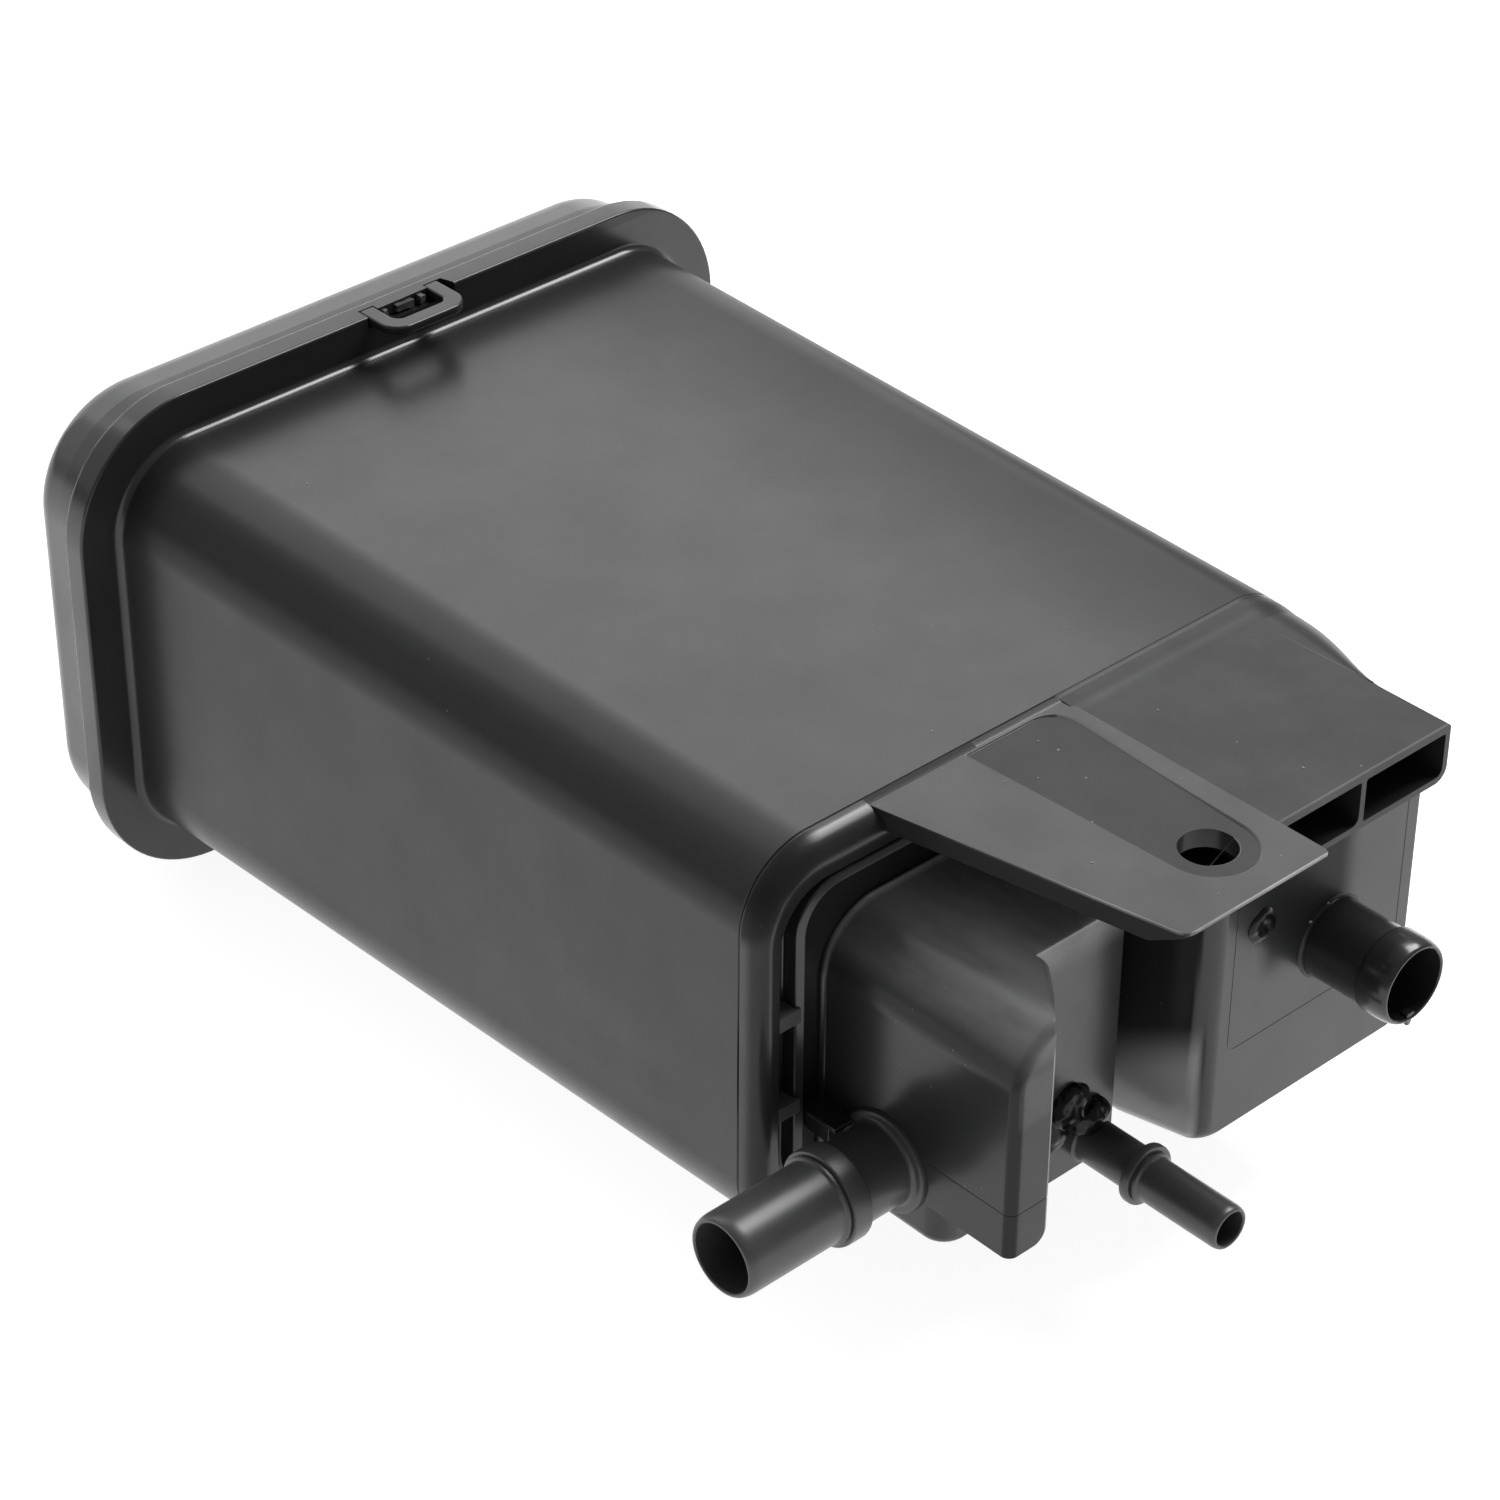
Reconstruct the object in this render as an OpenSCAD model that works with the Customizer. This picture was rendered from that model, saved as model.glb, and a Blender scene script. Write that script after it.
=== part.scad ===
/* [Body] */
// Width of the body at the parting line behind the front edge
seam_w = 140; // [128:1:160]
// Height of the body at the parting line
seam_h = 85; // [78:1:100]
// Corner radius of the body at the parting line
seam_r = 15.5; // [12:0.5:18]
// Length of the body from the parting line to the flange
body_l = 175; // [140:1:220]
// Growth of each side wall from the parting line to the flange
side_draft = 3.3; // [1:0.1:5]
// Growth of the top and of the bottom wall over the same length
top_draft = 2.7; // [1:0.1:4]
// Growth of the corner radius over the same length
corner_draft = 2.1; // [0:0.1:4]
// Wall thickness of the housing
wall = 2.6; // [2:0.1:3.2]
// Place of the partition between the two chambers, from the middle
partition_x = -5.8; // [-10:0.1:0]
// Thickness of the partition
partition_t = 2.4; // [1.8:0.1:4]
// Corner radius of the chambers at the partition
room_r = 1.5; // [0.5:0.1:3]

/* [Front end] */
// Depth of the rounded front edge
nose_d = 5.5; // [4.5:0.1:7]
// How far the front edge rounds in at the sides
nose_side = 3.2; // [2:0.1:4.5]
// How far the front edge rounds in at the top and bottom
nose_top = 5.5; // [4:0.1:6.5]
// How far the corner radius shrinks over the rounded front edge
nose_r = 3.5; // [2:0.1:5]
// Width of the flat rim inside the rounded edge
rim_w = 1.2; // [0.8:0.1:2]
// Corner radius inside the rim
rim_r = 11; // [8:0.5:12]
// Width of the trench behind the rim, at the sides
trench_side = 3.3; // [2:0.1:4]
// Width of the trench at the top and bottom
trench_top = 1; // [0.8:0.1:1.6]
// Depth of the trench
trench_d = 4; // [2:0.1:4.5]
// Width of the ledge inside the trench
ledge_w = 2.8; // [2:0.1:3.4]
// Corner radius outside the ledge
ledge_r = 10; // [7:0.5:12]
// Corner radius of the floor inside the ledge
floor_r = 8.5; // [6:0.5:11]
// Depth of the floor inside the ledge
floor_d = 2.2; // [0.6:0.1:2.8]
// Thickness of the front wall behind the trench
front_t = 3; // [2:0.1:5]
// Height of a bridge across the trench
tab_h = 3; // [2:0.1:4]
// Distance from the roof of the tank dome to the middle of the upper bridge
tab_top = 16; // [12:0.5:20]
// Distance between the two bridges
tab_pitch = 20; // [12:0.5:24]
// Thickness of ribs and gussets
rib_t = 2; // [1.2:0.1:3]
// Width of the rib beside the tank dome
side_rib_w = 5.3; // [3:0.1:6]
// Reach of that rib in front of the rim
side_rib_l = 7.3; // [4:0.1:9]
// Distance from the roof of the tank dome down to that rib
side_rib_top = 37.6; // [30:0.1:38]
// Height of the web under that rib
web_h = 4.6; // [2:0.1:6]
// Reach of the web in front of the rim
web_l = 4.1; // [2:0.1:6]

/* [Tank dome] */
// Distance from the body's side to a dome's outer wall
dome_side = 16.8; // [15.5:0.1:22]
// Distance from the body's top to the roof of the tank dome
tank_top = 18.3; // [15:0.1:24]
// Distance from the body's bottom to the floor of both domes
dome_bottom = 10.7; // [10.5:0.1:16]
// Reach of the tank dome in front of the parting line
tank_reach = 34.5; // [33:0.5:44]
// Radius of the long upper outer edge of the tank dome
tank_edge_r = 12; // [8:0.5:14]
// Radius of the lower front corner of the tank dome
tank_corner_r = 4.5; // [2:0.5:6]
// Radius of the other long edges of the tank dome
tank_small_r = 2.5; // [1.5:0.1:4]
// Rounding of the tank dome's front edges
tank_front_r = 0.8; // [0.4:0.1:1.5]
// Gap between the two domes
dome_gap = 6.8; // [5:0.1:12]

/* [Flag] */
// Thickness of the flag that carries the outer wall forward
flag_t = 9; // [5:0.5:12]
// Reach of the flag in front of the tank dome
flag_reach = 16.5; // [8:0.5:22]
// Height of the flag's lower edge above the dome's floor
flag_rise = 8.8; // [3:0.1:14]
// Rounding of the flag's tip
flag_edge_r = 2; // [1:0.1:3]
// Width of the gusset between the flag and the dome's front, along the roof
gusset_w = 11.2; // [8:0.1:14]
// Distance from the flag's tip back to the start of the gusset's straight side
gusset_back = 12.5; // [10:0.1:14]
// Width of the gusset at its bend
gusset_bend_w = 6.7; // [4:0.1:7.5]
// Distance from the flag's tip back to that bend
gusset_bend = 7.1; // [5:0.1:9]

/* [Vent dome] */
// Reach of the vent dome in front of the parting line
vent_reach = 48.5; // [45:0.5:52]
// Rise of the vent dome's floor towards its front
vent_rise = 4.3; // [1:0.1:8]
// Length of that rising stretch
vent_rise_l = 20; // [12:0.5:26]
// Radius of the vent dome's front corners
vent_corner_r = 4; // [2:0.5:6]
// Radius of the vent dome's lower edges
vent_small_r = 3; // [1.5:0.1:4]
// Rounding of the vent dome's front edges
vent_front_r = 1; // [0.5:0.1:2]
// Diameter of the nub on the vent dome's front
nub_d = 6.4; // [4:0.1:8]
// Height of the nub
nub_h = 0.9; // [0.5:0.1:2]
// Distance of the nub from the inner wall of the vent dome
nub_x = 13.1; // [10:0.1:16]
// Height of the nub above the dome's floor
nub_z = 48; // [40:0.1:54]

/* [Ports] */
// Outer diameter of the tank port
tank_port_d = 16; // [13:0.1:18]
// Bore of the tank port
tank_bore_d = 13.5; // [9:0.1:14]
// Length of the tank port from the dome's wall
tank_port_l = 39.3; // [30:0.1:45]
// Distance of the tank port's axis from the parting line
tank_port_y = 20.3; // [17:0.1:24]
// Height of the tank port's axis above the dome's floor
tank_port_z = 12.7; // [10:0.1:20]
// Fillet at the root of the tank port
tank_fillet = 0.9; // [0.4:0.1:2]
// Width of the raised ring around that root
root_ring_w = 1.3; // [0.8:0.1:2]
// Height of the raised ring
root_ring_h = 0.9; // [0.5:0.1:1.5]
// Distance from the dome's wall to the far side of the tank port's collar
tank_collar = 16.2; // [12:0.1:20]
// Outer diameter of the purge port
purge_port_d = 8.8; // [7:0.1:10]
// Bore of the purge port
purge_bore_d = 6.8; // [4:0.1:6.9]
// Length of the purge port from the dome's front
purge_port_l = 34; // [26:0.1:40]
// Distance of the purge port's axis from the inner wall of the tank dome
purge_port_x = 6.2; // [5.2:0.1:14]
// Height of the purge port's axis above the dome's floor
purge_port_z = 5.5; // [5:0.1:20]
// Fillet at the root of the purge port
purge_fillet = 0.6; // [0.2:0.1:0.8]
// Distance from the dome's front to the far side of the purge port's collar
purge_collar = 16.1; // [12:0.1:20]
// Outer diameter of the vent port
vent_port_d = 15.8; // [13:0.1:18]
// Bore of the vent port
vent_bore_d = 14; // [9:0.1:14]
// Length of the vent port from the dome's front
vent_port_l = 19.9; // [15:0.1:28]
// Distance of the vent port's axis from the outer wall of the vent dome
vent_port_x = 23; // [14:0.1:36]
// Height of the vent port's axis above the dome's floor
vent_port_z = 35.9; // [20:0.1:42]
// Fillet at the root of the vent port
vent_fillet = 1.8; // [0.5:0.1:3]
// Height of the bead at the end of the vent port
vent_bead_h = 0.6; // [0.3:0.1:1.2]
// Length of the bead's crest
vent_crest_l = 3; // [2:0.1:5]
// Length of the bead's sharp shoulder
vent_shoulder_l = 0.6; // [0.3:0.1:1.5]
// Length of the rounded tip in front of the crest
vent_tip_l = 3.4; // [2:0.1:5]
// How far that tip rounds in
vent_tip_in = 0.9; // [0.4:0.1:1.2]
// Height of the collars above their tubes
collar_h = 1.5; // [0.8:0.1:2]
// Length of the collars
collar_l = 4; // [3:0.1:6]
// Height of the small step in front of a collar
step_h = 0.5; // [0.3:0.1:0.7]
// Length of that step
step_l = 1; // [0.5:0.1:2]
// Rounding of the collars and of the tube ends
port_edge_r = 0.8; // [0.4:0.1:1]

/* [Bracket] */
// Thickness of the bracket plate
plate_t = 4.1; // [3:0.1:5]
// Thickness left at the plate's front edge
plate_lip = 0.5; // [0.4:0.1:1.5]
// Length of the chamfer under the plate's front edge
plate_chamfer = 7.4; // [3:0.1:8]
// Radius of the plate's front corner at the left
plate_tip_r = 3; // [1:0.1:5]
// Radius of the plate's front corner at the right
plate_r = 1.5; // [1:0.1:3]
// Length of the plate's straight stretch at the body, on the left
plate_root = 2.5; // [1:0.1:5]
// Step from the body's top down to the bracket plate
plate_drop = 0.3; // [0.2:0.1:1]
// Reach of the bracket plate in front of the parting line
plate_reach = 64.6; // [62:0.2:80]
// Left end of the plate's rear edge, from the middle of the body
plate_left = 41; // [32:0.5:48]
// Right edge of the plate, from the middle of the body
plate_right = 7.6; // [5:0.1:9]
// Width of the plate's front edge
plate_front_w = 36; // [30:0.5:44]
// Diameter of the bolt hole
hole_d = 10.8; // [6:0.1:12]
// Bolt hole from the middle of the body
hole_x = -6.7; // [-9:0.1:-5]
// Bolt hole from the parting line
hole_y = 49.4; // [40:0.1:51]
// Radius of the recess around the bolt hole
recess_r = 9.5; // [8:0.1:10]
// Depth of the recess
recess_d = 0.6; // [0.4:0.1:1.2]
// Width of the recess at the parting line
recess_w = 24; // [20:0.5:26]
// Distance from the recess to the plate's right edge
recess_edge = 2.5; // [1.5:0.1:3]
// Distance from the recess to the parting line
recess_back = 2; // [1:0.1:6]
// Radius of the recess at its right rear corner
recess_corner_r = 6; // [3:0.1:8]

/* [Tunnel] */
// Reach of the tunnel in front of the parting line
tunnel_reach = 52.4; // [50:0.2:60]
// Height of the tunnel
tunnel_h = 12.2; // [10:0.1:16]
// Step from the body's top down to the tunnel's roof
tunnel_drop = 0.8; // [0.5:0.1:1.5]
// How far the tunnel stands out beside the vent dome
tunnel_out = 0.8; // [0.3:0.1:2]
// Thickness of the tunnel's roof
tunnel_wall = 1.9; // [1.4:0.1:2.4]
// Thickness of the tunnel's side wall, its floor and its rib
tunnel_side = 1.3; // [1:0.1:2]
// Radius of the tunnel's long upper edge
tunnel_r = 1.2; // [0.8:0.1:2]
// Radius of the tunnel's long lower edge
tunnel_low_r = 3; // [1.5:0.1:3.5]
// Depth of the tunnel's pockets
pocket_d = 42; // [30:0.5:44]
// Corner radius of the pockets
pocket_r = 0.5; // [0.3:0.1:1]
// Distance from the plate's edge to the first pocket
pocket_start = 1; // [0.5:0.1:3]
// Radius of the upper edge where the tunnel has run out to the body's shoulder
shoulder_r = 15.3; // [10:0.1:15.5]
// Distance from the parting line at which the shoulder starts to draw in
shoulder_start = 7; // [5:0.5:12]
// Distance from the parting line at which the shoulder has run out
shoulder_end = 37; // [28:0.5:44]
// Fullness of the shoulder's curve, smaller for a fuller one
shoulder_full = 0.62; // [0.4:0.02:1.2]
// Length of the raised band between the parting line and the tunnel's roof
band_l = 5.4; // [3:0.1:6.5]
// Length of the ramp in front of the band
band_ramp = 1.5; // [0.8:0.1:3]

/* [Flange and cover] */
// Width of the flange around the body
flange_w = 9.1; // [8:0.1:12]
// Thickness of the body's flange
flange_t = 3.3; // [2.5:0.1:5]
// Thickness of the cover's flange
cover_flange_t = 2.1; // [1.6:0.1:4]
// Fillet between the body and its flange
flange_fillet = 1.6; // [1:0.1:2.5]
// Step from the flange's edge in to the cover's pan
pan_step = 3.5; // [2.5:0.1:6]
// Depth of the cover's pan behind its flange
pan_d = 16.6; // [13:0.1:22]
// Radius of the pan's back edge
pan_r = 5; // [3:0.5:7]
// Taper of the pan's walls
pan_taper = 1; // [0.5:0.1:2]
// Half width of the loop clip
loop_w = 10; // [8:0.1:12]
// Reach of the loop clip in front of the flange
loop_reach = 8.1; // [6:0.1:10]
// Width of the loop clip's bars
loop_bar = 3.6; // [2.5:0.1:4]
// Thickness of the loop clip
loop_t = 2; // [1.5:0.1:3]
// Gap around the loop clip's legs in the flange
loop_gap = 0.7; // [0.3:0.1:1]
// Outer corner radius of the loop clip
loop_r = 4.5; // [3:0.1:5.5]
// Corner radius of the loop clip's window
loop_in_r = 1.2; // [0.5:0.1:2]

/* [Inside] */
// Thickness of a filter pad
pad_t = 5; // [3:0.5:8]
// Thickness of a pressure plate
press_t = 3; // [2:0.1:4]
// Height of a pressure plate's guide rim
press_rim = 7; // [5:0.5:10]
// Thickness of the guide rim
press_rim_t = 1.6; // [1.2:0.1:2.5]
// How far the partition reaches past a guide rim
partition_lap = 2; // [1:0.5:6]
// Space between a pressure plate and the cover, for the springs
spring_l = 30; // [26:0.5:36]
// Mean diameter of a spring
spring_d = 17; // [14:0.5:20]
// Diameter of the spring wire
wire_d = 1.6; // [1:0.1:2]
// Turns of a spring
spring_turns = 5; // [4:1:7]
// Height of the springs above and below the middle
spring_z = 19.5; // [14:0.5:24]
// Height of the studs that centre the springs
stud_h = 3; // [2:0.5:5]
// Gap between the inner pieces and the walls
play = 0.3; // [0.2:0.1:0.6]
// Side of a hole in a pressure plate
mesh_hole = 6; // [4:0.5:7]
// Distance between the holes of a pressure plate
mesh_pitch = 9; // [8:0.5:12]
// Distance from the holes to the plate's edges and studs
mesh_edge = 5.2; // [4:0.1:8]

/* [Hidden] */
$fn = 64;
corner_steps = 8;
round_steps = 4;
shoulder_steps = 8;
cut = 1;
charcoal = "#2b2c2e";
felt = "#8b8a80";
granules = "#141414";
grey = "#34363a";
body_top = seam_h / 2;
dome_left = -seam_w / 2 + dome_side;
tank_right = partition_x - dome_gap / 2;
tank_roof = body_top - tank_top;
dome_floor = -body_top + dome_bottom;
vent_left = partition_x + dome_gap / 2;
vent_right = seam_w / 2 - dome_side;
plate_top = body_top - plate_drop;
plate_under = plate_top - plate_t;
seat_z = plate_top - recess_d;
hole_z = (seat_z + plate_under) / 2;
tunnel_roof = body_top - tunnel_drop;
tunnel_floor = tunnel_roof - tunnel_h;
tunnel_left = plate_right - tunnel_wall;
tunnel_right = vent_right + tunnel_out;
weld_y = body_l + flange_t;
cover_y = weld_y + cover_flange_t;
back_y = cover_y + pan_d;
front_in = trench_d - nose_d + front_t;
press_y = back_y - wall - spring_l - press_t;
pad_y = press_y - pad_t;
partition_end = press_y + press_rim + partition_lap;
flange_top = body_top + top_draft + flange_w;
stud_d = spring_d - wire_d - 2 * play;

// Points of a quarter arc that starts at angle a0
function arc(c, r, a0) =
    [for (i = [0:corner_steps]) let (a = a0 + 90 * i / corner_steps) c + r * [cos(a), sin(a)]];
// Rounded outline between two corners; radii run upper right, upper left, lower left, lower right
function outline(lo, hi, r) =
    concat(arc([hi.x - r[0], hi.y - r[0]], r[0], 0),
           arc([lo.x + r[1], hi.y - r[1]], r[1], 90),
           arc([lo.x + r[2], lo.y + r[2]], r[2], 180),
           arc([hi.x - r[3], lo.y + r[3]], r[3], 270));
// Centred rounded outline of half sizes w and h
function frame(w, h, r) = outline([-w, -h], [w, h], [r, r, r, r]);
function unit(v) = v / norm(v);
// Rounded corner p between its neighbours a and b
function rounded(a, p, b, r) =
    let (u = unit(a - p), v = unit(b - p), half = acos(u * v) / 2)
    let (c = p + unit(u + v) * r / sin(half), s = p + u * r / tan(half) - c)
    let (a0 = atan2(s.y, s.x), turn = (180 - 2 * half) * (u.x * v.y > u.y * v.x ? -1 : 1))
    [for (i = [0:corner_steps]) let (t = a0 + turn * i / corner_steps) c + r * [cos(t), sin(t)]];
// Outline through points, each with its own corner radius or 0
function eased(points, radii) =
    let (n = len(points))
    [for (i = [0:n - 1]) each radii[i] > 0
        ? rounded(points[(i + n - 1) % n], points[i], points[(i + 1) % n], radii[i])
        : [points[i]]];
// Half width, half height and corner radius of the body's outside at a distance from the parting line
function body_w(y) = seam_w / 2 + side_draft * y / body_l;
function body_h(y) = body_top + top_draft * y / body_l;
function body_r(y) = seam_r + corner_draft * y / body_l;
function body_frame(y, out = 0) = frame(body_w(y) + out, body_h(y) + out, body_r(y) + out);
// Angles of a quarter turn in equal steps
function quarter() = [for (i = [0:round_steps]) 90 * i / round_steps];

// Solid through outlines that lie across the length, front first
module loft(sections) {
    n = len(sections[0][1]);
    m = len(sections);
    points = [for (s = sections) for (p = s[1]) [p.x, s[0], p.y]];
    front = [[for (j = [n - 1:-1:0]) j]];
    back = [[for (j = [0:n - 1]) (m - 1) * n + j]];
    sides = [for (i = [0:m - 2]) for (j = [0:n - 1]) let (a = i * n + j, b = i * n + (j + 1) % n)
        each [[a, b, b + n], [a, b + n, a + n]]];
    polyhedron(points, concat(front, sides, back));
}

// Moves the body's own frame so that the bolt hole is the origin
module at_bolt_hole() {
    translate([-hole_x, hole_y, -hole_z]) children();
}

// Outside of the body: rounded front edge, drafted walls, fillet and flange
module body_solid() {
    nose = [for (a = quarter()) let (k = 1 - sin(a))
        [-nose_d * cos(a),
         frame(seam_w / 2 - nose_side * k, body_top - nose_top * k, seam_r - nose_r * k)]];
    root = [for (a = quarter()) let (y = body_l - flange_fillet * (1 - sin(a)))
        [y, body_frame(y, flange_fillet * (1 - cos(a)))]];
    edge = body_frame(body_l, flange_w);
    loft(concat(nose, root, [[body_l, edge], [weld_y, edge]]));
}

// Outline inside the front rim, a given way in from the rim's flat
function rim_frame(side, top, r) =
    frame(seam_w / 2 - nose_side - rim_w - side, body_top - nose_top - rim_w - top, r);

// Trench behind the rim and the floor inside the ledge
module front_cuts() {
    trench = rim_frame(0, 0, rim_r);
    ledge = rim_frame(trench_side, trench_top, ledge_r);
    inner = rim_frame(trench_side + ledge_w, trench_top + ledge_w, floor_r);
    difference() {
        loft([[-nose_d - cut, trench], [-nose_d + trench_d, trench]]);
        loft([[-nose_d - 2 * cut, ledge], [-nose_d + trench_d + cut, ledge]]);
    }
    loft([[-nose_d - cut, inner], [-nose_d + floor_d, inner]]);
}

// Small bridges across the trench, and the rib with its web beside the tank dome
module front_ribs() {
    side = -seam_w / 2 + nose_side;
    for (z = [tank_roof - tab_top, tank_roof - tab_top - tab_pitch])
        translate([side, -nose_d, z - tab_h / 2]) cube([rim_w + trench_side + cut, trench_d, tab_h]);
    rib_z = tank_roof - side_rib_top - rib_t;
    depth = floor_d + cut;
    translate([dome_left - side_rib_w, -nose_d - side_rib_l, rib_z])
        cube([side_rib_w + wall / 2, side_rib_l + depth, rib_t]);
    translate([dome_left - side_rib_w / 2 - rib_t / 2, -nose_d - web_l, rib_z - web_h])
        cube([rib_t, web_l + depth, web_h + rib_t / 2]);
}

// Outline of the tank dome; the inset draws in all sides, the corner draws in the outer side more
function tank_outline(inset, corner) =
    let (r = tank_small_r)
    outline([dome_left + inset + corner, dome_floor + inset], [tank_right - inset, tank_roof - inset],
            [r, tank_edge_r - inset, r, r]);

module tank_dome() {
    deep = tank_corner_r - tank_front_r;
    nose = [for (a = quarter()) let (k = 1 - sin(a))
        [-tank_reach + tank_corner_r * (1 - cos(a)), tank_outline(tank_front_r * k, deep * k)]];
    loft(concat(nose, [[front_in, tank_outline(0, 0)]]));
}

// Flag that carries the dome's outer wall forward, and the gusset roof beside it
module flag() {
    tip = -tank_reach - flag_reach;
    inner = dome_left + flag_t;
    low = dome_floor + flag_rise;
    nose = [for (a = quarter())
        [tip + flag_edge_r * (1 - cos(a)), tank_outline(flag_edge_r * (1 - sin(a)), 0)]];
    intersection() {
        loft(concat(nose, [[-tank_reach + tank_corner_r, tank_outline(0, 0)]]));
        translate([dome_left - cut, tip - cut, low])
            cube([flag_t + cut, flag_reach + tank_corner_r + cut, tank_roof - low + cut]);
    }
    translate([0, 0, tank_roof - rib_t]) linear_extrude(rib_t)
        polygon([[inner - cut, tip + flag_edge_r], [inner, tip + flag_edge_r],
                 [inner + gusset_bend_w, tip + gusset_bend], [inner + gusset_w, tip + gusset_back],
                 [inner + gusset_w, -tank_reach + cut], [inner - cut, -tank_reach + cut]]);
}

// Outline of the vent dome at a rise of its floor
function vent_outline(inset, corner, rise) =
    outline([vent_left + inset + corner, dome_floor + rise + inset],
            [vent_right - inset, tunnel_floor + tunnel_side / 2],
            [pocket_r, pocket_r, vent_small_r, vent_small_r]);

module vent_dome() {
    front = -vent_reach;
    deep = vent_corner_r - vent_front_r;
    nose = [for (a = quarter()) let (k = 1 - sin(a), y = vent_corner_r * (1 - cos(a)))
        [front + y, vent_outline(vent_front_r * k, deep * k, vent_rise * (1 - y / vent_rise_l))]];
    loft(concat(nose, [[front + vent_rise_l, vent_outline(0, 0, 0)], [front_in, vent_outline(0, 0, 0)]]));
    translate([vent_left + nub_x, front + cut, dome_floor + nub_z]) rotate([90, 0, 0])
        cylinder(d = nub_d, h = nub_h + cut);
}

// Hollows of the two domes
module dome_hollows() {
    r = tank_small_r;
    tank_hollow = outline([dome_left + wall, dome_floor + wall], [tank_right - wall, tank_roof - wall],
                          [r, tank_edge_r - wall, r, r]);
    loft([[-tank_reach + wall, tank_hollow], [front_in + cut, tank_hollow]]);
    left = vent_left + wall;
    top = [vent_right - wall, tunnel_floor - wall / 2];
    front_low = [left + vent_corner_r / 2, dome_floor + vent_rise + wall];
    vent_front = outline(front_low, top, [r, r, r, r]);
    vent_back = outline([left, dome_floor + wall], top, [r, r, r, r]);
    loft([[-vent_reach + wall, vent_front], [-vent_reach + vent_rise_l, vent_back],
          [front_in + cut, vent_back]]);
}

// Points of a fillet between a wall and a tube of radius r
function root_fillet(r, fillet, h) =
    [for (i = [0:3]) let (a = 30 * i) [r + fillet * (1 - sin(a)), h + fillet * (1 - cos(a))]];

// Tube with a root fillet on a raised ring, a stepped collar and a rounded tip
module collared_tube(d, l, collar_end, fillet, ring_w, ring_h) {
    r = d / 2;
    e = port_edge_r;
    top = r + collar_h;
    start = collar_end - collar_l;
    foot = [[0, -wall / 2], [r + fillet + ring_w, -wall / 2], [r + fillet + ring_w, ring_h]];
    collar = [[r, start], [top - e, start], [top, start + e], [top, collar_end - e],
              [top - e, collar_end], [r + step_h, collar_end], [r + step_h, collar_end + step_l],
              [r, collar_end + step_l]];
    tip = [for (a = quarter()) [r - e * (1 - cos(a)), l - 2 * e * (1 - sin(a))]];
    rotate_extrude() polygon(concat(foot, root_fillet(r, fillet, ring_h), collar, tip, [[0, l]]));
}

// Tube with a sharp-shouldered bead at its end
module beaded_tube(d, l, fillet) {
    r = d / 2;
    crest = r + vent_bead_h;
    crest_end = l - vent_tip_l;
    start = crest_end - vent_crest_l;
    foot = [[0, -wall / 2], [r + fillet, -wall / 2]];
    tip = [for (a = quarter()) [crest - vent_tip_in * (1 - cos(a)), crest_end + vent_tip_l * sin(a)]];
    rotate_extrude()
        polygon(concat(foot, root_fillet(r, fillet, 0), [[r, start - vent_shoulder_l], [crest, start]],
                       tip, [[0, l]]));
}

// Centre line of each port: the middle of its root, with the tube along +Z of the child
module at_tank_port() {
    translate([dome_left, -tank_port_y, dome_floor + tank_port_z]) rotate([0, -90, 0]) children();
}
module at_purge_port() {
    translate([tank_right - purge_port_x, -tank_reach, dome_floor + purge_port_z])
        rotate([90, 0, 0]) children();
}
module at_vent_port() {
    translate([vent_right - vent_port_x, -vent_reach, dome_floor + vent_port_z])
        rotate([90, 0, 0]) children();
}

module ports() {
    at_tank_port()
        collared_tube(tank_port_d, tank_port_l, tank_collar, tank_fillet, root_ring_w, root_ring_h);
    at_purge_port() collared_tube(purge_port_d, purge_port_l, purge_collar, purge_fillet, 0, 0);
    at_vent_port() beaded_tube(vent_port_d, vent_port_l, vent_fillet);
}

module bore(d, l) {
    translate([0, 0, -wall - cut]) cylinder(d = d, h = l + wall + 2 * cut);
}

module port_bores() {
    at_tank_port() bore(tank_bore_d, tank_port_l);
    at_purge_port() bore(purge_bore_d, purge_port_l);
    at_vent_port() bore(vent_bore_d, vent_port_l);
}

// Outline of the bracket plate, seen from above
function plate_points() =
    let (front = -plate_reach, left = plate_right - plate_front_w)
    eased([[-plate_left, cut], [-plate_left, -plate_root], [left, front], [plate_right, front],
           [plate_right, cut]],
          [0, 0, plate_tip_r, plate_r, 0]);

// Tongue-shaped recess around the bolt hole, seen from above
function recess_points() =
    let (c = [hole_x, -hole_y], right = plate_right - recess_edge, left = right - recess_w)
    let (back = -recess_back)
    concat([for (i = [0:2 * corner_steps]) let (a = 180 + 90 * i / corner_steps)
                c + recess_r * [cos(a), sin(a)]],
           rounded([right, -hole_y], [right, back], [left, back], recess_corner_r), [[left, back]]);

// Bracket plate with a long chamfer under its front edge
module bracket() {
    front = -plate_reach;
    slope = (plate_t - plate_lip) / plate_chamfer;
    wedge = [[front - cut, plate_top - plate_lip + slope * cut],
             [front + plate_chamfer + cut, plate_under - slope * cut],
             [front - cut, plate_under - slope * cut]];
    difference() {
        translate([0, 0, plate_under]) linear_extrude(plate_t) polygon(plate_points());
        translate([-plate_left - cut, 0, 0]) rotate([90, 0, 90])
            linear_extrude(plate_left + plate_right + 2 * cut) polygon(wedge);
    }
}

module bracket_cuts() {
    translate([0, 0, seat_z]) linear_extrude(recess_d + cut) polygon(recess_points());
    translate([hole_x, -hole_y, plate_under - cut]) cylinder(d = hole_d, h = plate_t + 2 * cut);
}

// Radius of the tunnel's upper edge, which grows into the shoulder towards the parting line
function edge_r(y) =
    let (t = max(0, min(1, (-y - shoulder_start) / (shoulder_end - shoulder_start))))
    tunnel_r + (shoulder_r - tunnel_r) * pow((1 + cos(180 * t)) / 2, shoulder_full);
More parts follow.
